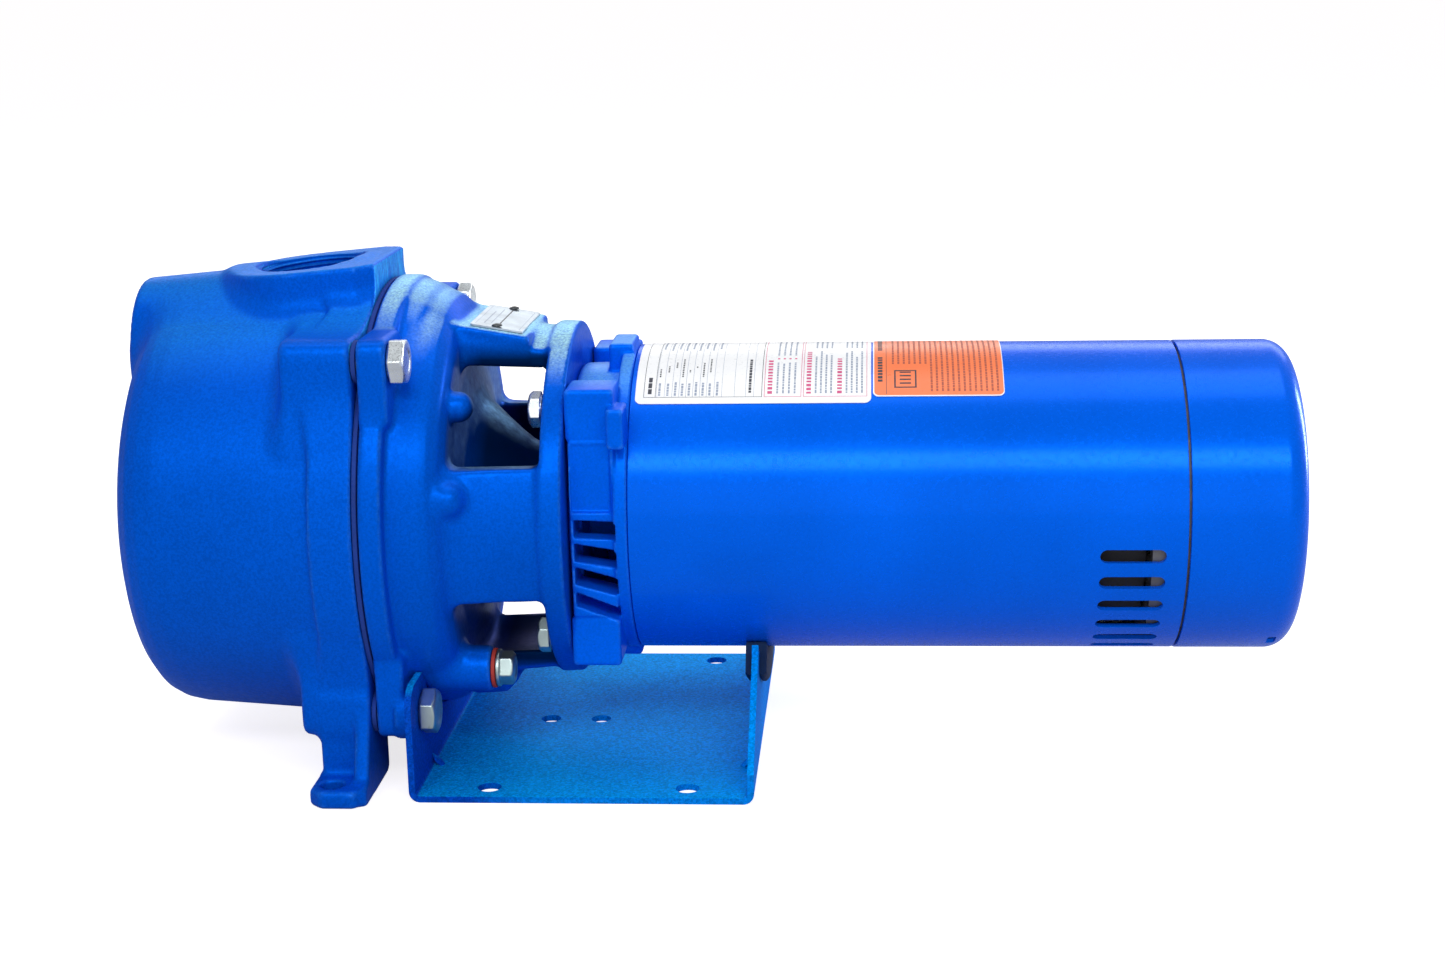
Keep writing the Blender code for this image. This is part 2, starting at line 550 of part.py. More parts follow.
# ---------------------------------------------------------------- motor adapter
def motor_adapter(mats):
    """Cast adapter: cover plate with ears, hub cone, four arms and the disc that takes the motor."""
    paint = mats["cast_paint"]
    face = ADAPTER_FACE_X
    body_profile = [(face, 30 * MM), (face, 105.5 * MM), (-84 * MM, 105.5 * MM), (-84 * MM, 97.8 * MM),
                    (-70 * MM, 97.0 * MM), (-65.5 * MM, 95.2 * MM), (-62 * MM, 91.5 * MM),
                    (-60 * MM, 86 * MM), (-60 * MM, 66 * MM), (-54 * MM, 58 * MM), (-40 * MM, 44 * MM),
                    (-20 * MM, 29 * MM), (-20 * MM, 22 * MM), (-66 * MM, 20 * MM), (-66 * MM, 11 * MM),
                    (-77.7 * MM, 11 * MM), (-77.7 * MM, 19.1 * MM), (-84.3 * MM, 19.1 * MM),
                    (-84.3 * MM, 30 * MM)]
    yoke_profile = [(-63 * MM, 70 * MM), (-63 * MM, 87.4 * MM), (-40 * MM, 82.6 * MM),
                    (DISC_X[0] + 3 * MM, 80.4 * MM), (DISC_X[0] + 3 * MM, 67 * MM)]
    adapter = lathe("motor_adapter", yoke_profile, paint, ROUND)
    reach = 110 * MM
    for number, y, z in corners_yz(1.0):
        ys = sorted((y * ARM_HALF, y * reach))
        zs = sorted((AXIS_Z + z * ARM_HALF, AXIS_Z + z * reach))
        cut(adapter, box(f"tool_window_{number}", (-59 * MM, 0.0), ys, zs, paint))
    add(adapter, lathe("tool_adapter_body", body_profile, paint, ROUND))
    add(adapter, lathe("tool_adapter_disc", tube(DISC_X[0], DISC_X[1], REGISTER_RADIUS + GAP, DISC_RADIUS),
                       paint, ROUND))

    for number, y, z in corners_yz(1.0):
        outline = [(56, 56), (EAR_HALF / MM, 56)] + arc(84, 84.5, 6, 0, 90, 4) + [(56, 90.5)]
        outline = [(y * a * MM, AXIS_Z + z * b * MM) for a, b in outline]
        add(adapter, prism(f"tool_adapter_ear_{number}", outline, face, EAR_BACK_X, paint, "X"))
    for side in (-1, 1):
        pad = rod(EAR_BACK_X - 3 * MM, BASE_X[0] - GAP, 12.5 * MM)
        add(adapter, lathe(f"tool_ear_pad_{side}", pad, paint, 24, side * CASING_BOLT_YZ,
                           AXIS_Z - CASING_BOLT_YZ))

    add(adapter, nameplate_pad(paint))
    low_pad = [(-62 * MM, 92), (-46 * MM, 90), (-40 * MM, 82), (-62 * MM, 76)]
    add(adapter, prism("tool_bottom_arm_pad", [(x, AXIS_Z - z * MM) for x, z in low_pad],
                       -28 * MM, 28 * MM, paint, "Y"))

    boss_y, boss_z = DRAIN_YZ
    add(adapter, lathe("tool_drain_boss", rod(-72 * MM, DRAIN_FACE_X, 10.5 * MM), paint, 24, boss_y,
                       AXIS_Z + boss_z))
    for number, angle in enumerate(BUMP_ANGLES):
        y = BUMP_CIRCLE * cos(radians(angle))
        z = BUMP_CIRCLE * sin(radians(angle))
        bump = [(-64 * MM, 0.0), (-64 * MM, 7.5 * MM), (-58.5 * MM, 7 * MM), (-56 * MM, 4.5 * MM),
                (-55.2 * MM, 0.0)]
        add(adapter, lathe(f"tool_bump_{number}", bump, paint, SMALL, y, AXIS_Z + z))

    recess = [(face - 3 * MM, 36 * MM), (face - 3 * MM, 59.5 * MM), (-69 * MM, 59.5 * MM), (-60 * MM, 50 * MM),
              (-47 * MM, 38 * MM), (-62 * MM, 36 * MM)]
    cut(adapter, lathe("tool_adapter_recess", recess, paint, 32))
    for number, y, z in corners_yz(CASING_BOLT_YZ):
        hole = rod(face - 5 * MM, -70 * MM, CASING_BOLT["shank"] + GAP)
        cut(adapter, lathe(f"tool_adapter_ear_hole_{number}", hole, paint, SMALL, y, AXIS_Z + z))
    for number, y, z in corners_yz(MOTOR_BOLT_YZ):
        hole = rod(DISC_X[0] - 5 * MM, DISC_X[1] + 5 * MM, MOTOR_BOLT["shank"] + GAP)
        cut(adapter, lathe(f"tool_adapter_disc_hole_{number}", hole, paint, SMALL, y, AXIS_Z + z))
    cut(adapter, lathe("tool_drain_hole", rod(face - 5 * MM, DRAIN_FACE_X + 5 * MM, DRAIN_STEM + GAP), paint,
                       SMALL, boss_y, AXIS_Z + boss_z))
    for side in (-1, 1):
        hole = rod(face - 5 * MM, -85.5 * MM, 3.3 * MM)
        cut(adapter, lathe(f"tool_adapter_screw_hole_{side}", hole, paint, SMALL, side * DIFFUSER_SCREW_R))
    for number, (x, y) in enumerate(PLATE_PINS):
        cut(adapter, pin_solid(f"tool_plate_pin_hole_{number}", x, y, -4.5 * MM, 5 * MM, 1.3 * MM, paint))
    return adapter


def pad_height(x):
    """Top of the sloping pad that carries the name plate."""
    return AXIS_Z + PLATE_TOP - tan(PLATE_SLOPE) * (x - PLATE_X[0])


def nameplate_pad(paint):
    x0, x1 = -62 * MM, -28.5 * MM
    outline = [(x0, AXIS_Z + 74 * MM), (x1, AXIS_Z + 74 * MM), (x1, pad_height(x1)), (x0, pad_height(x0))]
    return prism("tool_nameplate_pad", outline, -31 * MM, 31 * MM, paint, "Y")


def sloped(name, xs, ys, low, high, mat):
    """A thin plate lying on the sloping pad, between two heights over it."""
    outline = [(xs[0], ys[0]), (xs[1], ys[0]), (xs[1], ys[1]), (xs[0], ys[1])]
    return prism(name, outline, lambda p: pad_height(p[0]) + low, lambda p: pad_height(p[0]) + high, mat)


def pin_solid(name, x, y, low, high, radius, mat):
    """A small upright pin on the sloping pad."""
    outline = arc(x, y, radius, 0, 360, 12)[:-1]
    base = pad_height(x)
    return prism(name, outline, base + low, base + high, mat)


def nameplate(mats):
    """Plate on the sloping pad, held by two drive pins."""
    plate = sloped("pump_nameplate", PLATE_X, (-PLATE_HALF_Y, PLATE_HALF_Y), GAP, GAP + 0.8 * MM,
                   mats["name_plate"])
    for number, (x, y) in enumerate(PLATE_PINS):
        cut(plate, pin_solid(f"tool_plate_hole_{number}", x, y, -3 * MM, 5 * MM, 1.3 * MM, mats["name_plate"]))
        stem = pin_solid(f"nameplate_pin_{number + 1}", x, y, -4 * MM, 1.9 * MM, 1.0 * MM, mats["zinc_steel"])
        add(stem, pin_solid(f"tool_pin_head_{number}", x, y, 1.6 * MM, 2.8 * MM, 2.4 * MM, mats["zinc_steel"]))


def adapter_bolts(mats):
    """Bolts that pull the motor against the adapter. Their heads are on the pump side."""
    for number, y, z in corners_yz(MOTOR_BOLT_YZ):
        bolt = hex_bolt(f"adapter_bolt_{number}", 0.0, -31 * MM, y, AXIS_Z + z, MOTOR_BOLT,
                        mats["zinc_steel"], radians(11) * number)
        turn(bolt, Matrix.Translation((DISC_X[0] - GAP, y, 0)) @ Matrix.Rotation(pi, 4, "Z")
             @ Matrix.Translation((0, -y, 0)))


def drain_plug(mats):
    """Collared hex plug with its fibre washer."""
    y, z = DRAIN_YZ[0], AXIS_Z + DRAIN_YZ[1]
    washer = tube(DRAIN_FACE_X + GAP, DRAIN_FACE_X + 2.0 * MM, DRAIN_STEM + GAP, 9.0 * MM)
    lathe("drain_washer", washer, mats["red_fibre"], 24, y, z)
    seat = DRAIN_FACE_X + 2.0 * MM + GAP
    stem = [(-88 * MM, 0.0), (-88 * MM, DRAIN_STEM), (seat, DRAIN_STEM), (seat, DRAIN_COLLAR),
            (seat + 1.8 * MM, DRAIN_COLLAR), (seat + 1.8 * MM, 0.0)]
    plug = lathe("drain_plug", stem, mats["zinc_steel"], 24, y, z)
    hexagon = arc(y, z, DRAIN_HEX, 10, 310, 5)
    add(plug, prism("tool_plug_head", hexagon, seat + 1.0 * MM, seat + 8.0 * MM, mats["zinc_steel"], "X"))


# ---------------------------------------------------------------- base
def base_bracket(mats):
    """Bent sheet base: plate, clamped flange at the pump end, saddle at the motor end."""
    paint = mats["sheet_paint"]
    left, right = BASE_X
    top = FLANGE_TOP + 4 * MM
    outside = [(left, top)] + arc(left + BEND, BEND, BEND, 180, 270, 4) + arc(right - BEND, BEND, BEND, 270, 360, 4)
    outside += [(right, top)]
    inner = BEND - SHEET
    inside = [(right - SHEET, top)] + arc(right - BEND, BEND, inner, 0, -90, 3)
    inside += arc(left + BEND, BEND, inner, 270, 180, 3) + [(left + SHEET, top)]
    base = prism("base_bracket", outside + inside, -BASE_HALF_Y, BASE_HALF_Y, paint, "Y")

    cut(base, lathe("tool_flange_arc", rod(left - 10 * MM, left + 15 * MM, FLANGE_ARC_RADIUS), paint, ROUND))
    cut(base, lathe("tool_saddle", rod(right - 15 * MM, right + 10 * MM, SADDLE_RADIUS), paint, ROUND))
    for side in (-1, 1):
        taper = [(side * (BASE_HALF_Y + 5 * MM), 14 * MM), (side * (BASE_HALF_Y - 1 * MM), 14 * MM),
                 (side * 50 * MM, 54 * MM), (side * 50 * MM, 70 * MM), (side * (BASE_HALF_Y + 5 * MM), 70 * MM)]
        cut(base, prism(f"tool_taper_{side}", taper, right - 12 * MM, right + 5 * MM, paint, "X"))
        corner = [(side * (BASE_HALF_Y + 5 * MM), 70 * MM), (side * (BASE_HALF_Y + 5 * MM), 48 * MM),
                  (side * (BASE_HALF_Y - 0.2 * MM), 48 * MM), (side * (BASE_HALF_Y - 3 * MM), 54 * MM),
                  (side * (BASE_HALF_Y - 8 * MM), FLANGE_TOP), (side * 70 * MM, FLANGE_TOP),
                  (side * 70 * MM, 70 * MM)]
        cut(base, prism(f"tool_flange_corner_{side}", corner, left - 5 * MM, left + 12 * MM, paint, "X"))
    holes = [(sx * FOOT_HOLE_X, sy * FOOT_HOLE_Y, FOOT_HOLE_RADIUS) for sx in (-1, 1) for sy in (-1, 1)]
    holes += [(x, y, PLATE_HOLE_RADIUS) for x, y in PLATE_HOLES]
    for number, (x, y, radius) in enumerate(holes):
        outline = arc(x, y, radius, 0, 360, 24)[:-1]
        cut(base, prism(f"tool_base_hole_{number}", outline, -5 * MM, 10 * MM, paint))
    for side in (-1, 1):
        hole = rod(left - 5 * MM, left + 10 * MM, CASING_BOLT["shank"] + GAP)
        cut(base, lathe(f"tool_flange_hole_{side}", hole, paint, SMALL, side * CASING_BOLT_YZ,
                        AXIS_Z - CASING_BOLT_YZ))
    return base


def motor_support_pad(mats):
    """Rubber channel over the saddle's edge, with the motor shell resting on it."""
    x0, x1 = BASE_X[1] - SHEET - 3.5 * MM, BASE_X[1] + 3.5 * MM
    slot0, slot1 = BASE_X[1] - SHEET - GAP, BASE_X[1] + GAP
    inner, slot, outer = SHELL_RADIUS + GAP, SADDLE_RADIUS - GAP, PAD_OUTER
    section = [(x0, inner), (x1, inner), (x1, outer - 2 * MM), (x1 - 1.6 * MM, outer), (slot1, outer),
               (slot1, slot), (slot0, slot), (slot0, outer), (x0 + 1.6 * MM, outer), (x0, outer - 2 * MM)]
    steps, half = 14, PAD_HALF_ANGLE
    bm = bmesh.new()
    rings = []
    for i in range(steps + 1):
        angle = -pi / 2 - half + 2 * half * i / steps
        rings.append([bm.verts.new((x, r * cos(angle), AXIS_Z + r * sin(angle))) for x, r in section])
    count = len(section)
    for first, second in zip(rings, rings[1:]):
        for k in range(count):
            m = (k + 1) % count
            bm.faces.new((first[k], first[m], second[m], second[k]))
    bm.faces.new(rings[0])
    bm.faces.new(rings[-1])
    return finish("motor_support_pad", bm, mats["rubber"], 30.0)


# ---------------------------------------------------------------- motor housing
def motor_shell(mats):
    """Rolled steel shell with six vent slots in each side."""
    inner = SHELL_RADIUS - SHELL_WALL
    shell = lathe("motor_shell", tube(SHELL_X[0], SHELL_X[1], inner, SHELL_RADIUS), mats["motor_paint"], ROUND)
    for side in (-1, 1):
        for number, angle in enumerate(VENT_ANGLES):
            half = VENT_WIDTH / 2
            outline = arc(VENT_X[1] - half, 0.0, half, -90, 90, 6) + arc(VENT_X[0] + half, 0.0, half, 90, 270, 6)
            vent = prism(f"tool_vent_{side}_{number}", outline, SHELL_RADIUS - 8 * MM, SHELL_RADIUS + 6 * MM,
                         mats["motor_paint"])
            tilt = side * (angle - pi / 2)
            turn(vent, Matrix.Translation((0, 0, AXIS_Z)) @ Matrix.Rotation(tilt, 4, "X"))
            cut(shell, vent)
    return shell


def front_end_bell(mats):
    """Cast end bell: bearing housing, motor register, four bolt blocks and louvred sides."""
    paint = mats["motor_paint"]
    x0 = DISC_X[1] + GAP
    back = SHELL_X[0] - GAP
    seat = SHELL_RADIUS - SHELL_WALL - GAP
    turned = [(DISC_X[1] - 3 * MM, 0.0), (DISC_X[1] - 3 * MM, REGISTER_RADIUS), (x0, REGISTER_RADIUS),
              (x0, 62 * MM), (-4 * MM, 63 * MM), (12.6 * MM, 63.5 * MM), (12.6 * MM, 72.2 * MM),
              (back, 72.2 * MM), (back, seat), (27 * MM, seat), (27 * MM, 0.0)]
    bell = lathe("front_end_bell", turned, paint, ROUND)
    quarter = [(39.2, 46.0), (40.7, 63.6), (65.0, 63.6), (65.0, 41.0), (67.6, 40.0), (68.6, 14.0)]
    outline = [(a, b) for a, b in quarter] + [(a, -b) for a, b in quarter[::-1]]
    outline += [(-a, -b) for a, b in quarter] + [(-a, b) for a, b in quarter[::-1]]
    outline = [(a * MM, AXIS_Z + b * MM) for a, b in outline]
    add(bell, prism("tool_bell_blocks", outline, x0 + 0.6 * MM, 13.3 * MM, paint, "X"))
    for side in (-1, 1):
        add(bell, box(f"tool_bell_lug_{side}", (5.8 * MM, back - 1.2 * MM), (-14 * MM, 14 * MM),
                      sorted((AXIS_Z + side * 60 * MM, AXIS_Z + side * 75.5 * MM)), paint))
    inside = [(-25 * MM, 0.0), (-25 * MM, 11 * MM), (FRONT_BEARING_X[0] - GAP, 11 * MM),
              (FRONT_BEARING_X[0] - GAP, BEARING_OUTER + GAP), (15 * MM, BEARING_OUTER + GAP),
              (15 * MM, 24 * MM), (-4.5 * MM, 26 * MM), (-4.5 * MM, 56.5 * MM), (34 * MM, 58.5 * MM),
              (34 * MM, 0.0)]
    cut(bell, lathe("tool_bell_inside", inside, paint, 32))
    for side in (-1, 1):
        for number in range(4):
            z = AXIS_Z + (0.6 - 12.0 * number) * MM
            slope = 0.5 * MM + 1.1 * number * MM
            depth = sorted((side * 48 * MM, side * 75 * MM))
            height = 8.0 * MM if number < 3 else 6.5 * MM
            outline = [(-5.8 * MM, z - height / 2 + slope), (13.8 * MM, z - height / 2 - slope),
                       (13.8 * MM, z + height / 2 - slope), (-5.8 * MM, z + height / 2 + slope)]
            cut(bell, prism(f"tool_louvre_{side}_{number}", outline, depth[0], depth[1], paint, "Y"))
    for number, y, z in corners_yz(MOTOR_BOLT_YZ):
        hole = rod(x0 - 5 * MM, 12.4 * MM, MOTOR_BOLT["shank"] + GAP)
        cut(bell, lathe(f"tool_bell_hole_{number}", hole, paint, SMALL, y, AXIS_Z + z))
    for number, y, z in tie_rods():
        hole = rod(8 * MM, 45 * MM, TIE_ROD + GAP)
        cut(bell, lathe(f"tool_bell_tie_hole_{number}", hole, paint, 12, y, z))
    return bell


def tie_rods():
    """The two long rods at the top and bottom of the motor."""
    return [(1, 0.0, AXIS_Z + TIE_ROD_RADIUS), (2, 0.0, AXIS_Z - TIE_ROD_RADIUS)]


def rear_end_bell(mats):
    """Rear bearing bracket, seated in the end of the shell behind the cap."""
    paint = mats["plain_steel"]
    outer = SHELL_RADIUS - SHELL_WALL - GAP
    profile = [(252 * MM, 26 * MM), (258 * MM, 30 * MM), (258 * MM, 57 * MM),
               (250 * MM, 59 * MM), (250 * MM, outer), (272 * MM, outer), (272 * MM, 58.5 * MM),
               (264 * MM, 56.5 * MM), (264 * MM, 32 * MM), (270 * MM, 26 * MM), (270 * MM, 11 * MM),
               (REAR_BEARING_X[1] + GAP, 11 * MM), (REAR_BEARING_X[1] + GAP, BEARING_OUTER + GAP),
               (252 * MM, BEARING_OUTER + GAP)]
    bell = lathe("rear_end_bell", profile, paint, 32)
    for number, y, z in tie_rods():
        hole = rod(245 * MM, 280 * MM, TIE_ROD + GAP)
        cut(bell, lathe(f"tool_rear_tie_hole_{number}", hole, paint, 12, y, z))
    for number in range(4):
        angle = radians(45 + 90 * number)
        vent = rod(250 * MM, 275 * MM, 8 * MM)
        cut(bell, lathe(f"tool_rear_vent_{number}", vent, paint, SMALL, 45 * MM * cos(angle),
                        AXIS_Z + 45 * MM * sin(angle)))
    return bell


def end_cap(mats):
    """Round cover over the switch and capacitor."""
    corner, wall = CAP_CORNER, CAP_WALL
    x0, x1 = SHELL_X[1] + 0.5 * MM, CAP_END_X
    outer = [(x0, SHELL_RADIUS)] + arc(x1 - corner, SHELL_RADIUS - corner, corner, 90, 0, 4) + [(x1, 0.0)]
    inner = [(x1 - wall, 0.0)] + arc(x1 - corner, SHELL_RADIUS - corner, corner - wall, 0, 90, 4)
    inner += [(x0, SHELL_RADIUS - wall)]
    cap = lathe("end_cap", outer + inner, mats["motor_paint"], ROUND)
    for number, (y, z) in enumerate(CAP_SCREWS):
        hole = rod(x1 - 6 * MM, x1 + 5 * MM, CAP_SCREW + GAP)
        cut(cap, lathe(f"tool_cap_hole_{number}", hole, mats["motor_paint"], 12, y, z))
    for side in (-1, 1):
        notch = box(f"tool_weep_slot_{side}", (300 * MM, 304 * MM), sorted((side * 38 * MM, side * 46 * MM)),
                    (AXIS_Z - 70 * MM, AXIS_Z - 45 * MM), mats["motor_paint"])
        cut(cap, notch)
    return cap


def cap_screws(mats):
    """Screws through the cap's end into posts on the rear bracket."""
    for number, (y, z) in enumerate(CAP_SCREWS):
        head = CAP_END_X + GAP
        profile = [(274 * MM, 0.0), (274 * MM, CAP_SCREW), (head, CAP_SCREW), (head, 5.2 * MM),
                   (head + 2.2 * MM, 5.2 * MM), (head + 3.2 * MM, 3.6 * MM), (head + 3.2 * MM, 0.0)]
        lathe(f"cap_screw_{number + 1}", profile, mats["zinc_steel"], SMALL, y, z)


def through_bolts(mats):
    """Two long bolts that hold both end bells on the shell."""
    for number, y, z in tie_rods():
        profile = [(9 * MM, 0.0), (9 * MM, TIE_ROD), (272.3 * MM, TIE_ROD), (272.3 * MM, 4.4 * MM),
                   (275.5 * MM, 4.4 * MM), (275.5 * MM, 0.0)]
        lathe(f"through_bolt_{number}", profile, mats["zinc_steel"], 12, y, z)


# ---------------------------------------------------------------- inside the motor
def toothed_tube(name, x0, x1, inner, outer, count, mat):
    """Tube whose bore or outside changes with the angle: inner and outer are functions of it."""
    bm = bmesh.new()
    loops = []
    for x in (x0, x1):
        for radius in (inner, outer):
            loop = []
            for i in range(count):
                angle = 2 * pi * i / count
                r = radius(i)
                loop.append(bm.verts.new((x, r * cos(angle), AXIS_Z + r * sin(angle))))
            loops.append(loop)
    in0, out0, in1, out1 = loops
    for i in range(count):
        j = (i + 1) % count
        bm.faces.new((in0[i], in0[j], out0[j], out0[i]))
        bm.faces.new((in1[i], in1[j], out1[j], out1[i]))
        bm.faces.new((in0[i], in0[j], in1[j], in1[i]))
        bm.faces.new((out0[i], out0[j], out1[j], out1[i]))
    return finish(name, bm, mat)


def stator(mats):
    """Slotted core pressed in the shell, with a winding at each end."""
    def bore(i):
        return 39.4 * MM if i % 4 < 2 else 52 * MM

    def rim(i):
        flat = (i + 24) % 48 < 3 or (i + 24) % 48 > 45
        return 61.6 * MM if flat else SHELL_RADIUS - SHELL_WALL - GAP

    toothed_tube("stator_core", STATOR_X[0], STATOR_X[1], bore, rim, 96, mats["lamination"])
    for name, x0, x1 in (("winding_front", 62 * MM, STATOR_X[0] - GAP),
                         ("winding_rear", STATOR_X[1] + GAP, 218 * MM)):
        r0, r1 = 43 * MM, 62 * MM
        c = 6 * MM
        ring = [(x0, r0), (x0, r1 - c), (x0 + c, r1), (x1 - c, r1), (x1, r1 - c), (x1, r0)]
        lathe(name, ring, mats["copper"], 24)


def rotating_parts(mats):
    """Everything that turns with the shaft, with its origin on the shaft."""
    shaft = [(-121 * MM, 0.0), (-121 * MM, 6.5 * MM), (-119.5 * MM, 7.7 * MM), (-100 * MM, 7.7 * MM),
             (-99.7 * MM, 7.9 * MM), (-3 * MM, 7.9 * MM), (-3 * MM, 8.2 * MM), (18 * MM, 8.2 * MM),
             (18 * MM, 9.5 * MM), (50 * MM, 9.5 * MM), (50 * MM, 12 * MM), (230 * MM, 12 * MM),
             (230 * MM, 10 * MM), (254 * MM, 10 * MM), (254 * MM, 8.2 * MM), (278 * MM, 8.2 * MM),
             (279 * MM, 7.2 * MM), (279 * MM, 0.0)]
    set_origin(lathe("motor_shaft", shaft, mats["plain_steel"], 16), (0.0, 0.0, AXIS_Z))

    core = [(84 * MM, 12.3 * MM), (84 * MM, 36 * MM), (86 * MM, 38.8 * MM), (194 * MM, 38.8 * MM),
            (196 * MM, 36 * MM), (196 * MM, 12.3 * MM)]
    set_origin(lathe("rotor_core", core, mats["lamination"], 24), (140 * MM, 0.0, AXIS_Z))

    fan = lathe("cooling_fan", [(34 * MM, 9.8 * MM), (34 * MM, 14 * MM), (44 * MM, 22 * MM), (47 * MM, 38 * MM),
                                (49 * MM, 38 * MM), (49 * MM, 9.8 * MM)], mats["moulded_plastic"], FINE)
    for i in range(FAN_BLADES):
        blade = box(f"tool_fan_blade_{i}", (33 * MM, 48 * MM), (-1 * MM, 1 * MM),
                    (AXIS_Z + 18 * MM, AXIS_Z + 52 * MM), mats["moulded_plastic"])
        turn(blade, about((0, 0, AXIS_Z), "X", 2 * pi * i / FAN_BLADES))
        add(fan, blade)
    set_origin(fan, (42 * MM, 0.0, AXIS_Z))

    slinger = [(-56 * MM, 8.2 * MM), (-51 * MM, 8.2 * MM), (-51 * MM, 12 * MM), (-53 * MM, 18 * MM),
               (-55 * MM, 18 * MM), (-56 * MM, 12 * MM)]
    set_origin(lathe("water_slinger", slinger, mats["rubber"], FINE), (-53 * MM, 0.0, AXIS_Z))


def start_governor(mats):
    """Sliding collar of the centrifugal switch. It rides on the shaft's thick part."""
    profile = [(GOVERNOR_X[0], 12.4 * MM), (GOVERNOR_X[1] - 5 * MM, 12.4 * MM), (GOVERNOR_X[1] - 5 * MM, 24 * MM),
               (GOVERNOR_X[1] - 7.5 * MM, 24 * MM), (GOVERNOR_X[1] - 7.5 * MM, 17 * MM), (GOVERNOR_X[0], 17 * MM)]
    collar = lathe("start_governor", profile, mats["moulded_plastic"], FINE)
    set_origin(collar, (GOVERNOR_X[0], 0.0, AXIS_Z))


def bearings(mats):
    """Two deep-groove ball bearings, each an outer ring and an inner ring with its ball cage."""
    for name, (x0, x1) in (("front", FRONT_BEARING_X), ("rear", REAR_BEARING_X)):
        lathe(f"{name}_bearing_outer", tube(x0, x1, 16.6 * MM, BEARING_OUTER), mats["plain_steel"], FINE)
        mid = (x0 + x1) / 2
        inner = [(x0, BEARING_BORE), (x1, BEARING_BORE), (x1, 12 * MM), (mid + 2.5 * MM, 12.3 * MM),
                 (mid + 2.2 * MM, 16.2 * MM), (mid - 2.2 * MM, 16.2 * MM), (mid - 2.5 * MM, 12.3 * MM),
                 (x0, 12 * MM)]
        ring = lathe(f"{name}_bearing_inner", inner, mats["plain_steel"], FINE)
        set_origin(ring, (mid, 0.0, AXIS_Z))


def electrical_parts(mats):
    """Start capacitor, its clamp, the terminal board, the start switch and the overload protector."""
    cap_x, cap_z, cap_r = 296 * MM, AXIS_Z + 33 * MM, 17.5 * MM
    turned_y("start_capacitor", cap_x, cap_z, cap_r, 38 * MM, mats["moulded_plastic"])
    inner = arc(cap_x, cap_z, cap_r + GAP, 200, -20, 14)
    outer = arc(cap_x, cap_z, cap_r + GAP + 1.2 * MM, -20, 200, 14)
    prism("capacitor_clamp", inner + outer, -5 * MM, 5 * MM, mats["zinc_steel"], "Y")
    box("terminal_board", (272.6 * MM, 276.0 * MM), (-30 * MM, 30 * MM), (AXIS_Z - 52 * MM, AXIS_Z - 14 * MM),
        mats["moulded_plastic"])
    box("start_switch", (237 * MM, 246 * MM), (-12 * MM, 12 * MM), (AXIS_Z + 24.5 * MM, AXIS_Z + 44 * MM),
        mats["moulded_plastic"])
    lathe("overload_protector", rod(276.3 * MM, 288 * MM, 13 * MM), mats["moulded_plastic"], 24, 12 * MM,
          AXIS_Z - 33 * MM)


# ---------------------------------------------------------------- labels
def wrapped_label(name, xs, angles, radius, thickness, mat, steps=12):
    """A thin label lying on the shell. Angles are over the near side's horizontal, in degrees."""
    bm = bmesh.new()
    rings = []
    for i in range(steps + 1):
        angle = radians(angles[0] + (angles[1] - angles[0]) * i / steps)
        ring = []
        for x, r in ((xs[0], radius), (xs[1], radius), (xs[1], radius + thickness), (xs[0], radius + thickness)):
            ring.append(bm.verts.new((x, -r * cos(angle), AXIS_Z + r * sin(angle))))
        rings.append(ring)
    for first, second in zip(rings, rings[1:]):
        for k in range(4):
            m = (k + 1) % 4
            bm.faces.new((first[k], first[m], second[m], second[k]))
    bm.faces.new(rings[0])
    bm.faces.new(rings[-1])
    return finish(name, bm, mat)


def labels(mats):
    """The two labels on the upper near side of the shell."""
    radius = SHELL_RADIUS + LABEL_GAP
    wrapped_label("motor_label", *MOTOR_LABEL, radius, LABEL_THICKNESS, mats["white_label"])
    wrapped_label("warning_label", *WARNING_LABEL, radius, LABEL_THICKNESS, mats["orange_label"])


# ---------------------------------------------------------------- assembly
def main():
    for old in list(bpy.data.objects):
        bpy.data.objects.remove(old, do_unlink=True)
    mats = make_materials()
    pump_casing(mats)
    casing_gasket(mats)
    casing_bolts(mats)
    check_valve(mats)
    diffuser(mats)
    diffuser_screws(mats)
    impeller(mats)
    shaft_seal(mats)
    motor_adapter(mats)
    nameplate(mats)
    adapter_bolts(mats)
    drain_plug(mats)
    base_bracket(mats)
    motor_support_pad(mats)
    motor_shell(mats)
    front_end_bell(mats)
    rear_end_bell(mats)
    end_cap(mats)
    cap_screws(mats)
    through_bolts(mats)
    stator(mats)
    rotating_parts(mats)
    start_governor(mats)
    bearings(mats)
    electrical_parts(mats)
    labels(mats)


main()
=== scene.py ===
"""Looks of the self-priming pump: castings, sheet metal, fasteners, labels, paint, light and camera."""
import json
from math import atan, cos, pi, radians, sin, sqrt, tan

import bmesh
import bpy
import numpy as np
from mathutils import Matrix, Vector


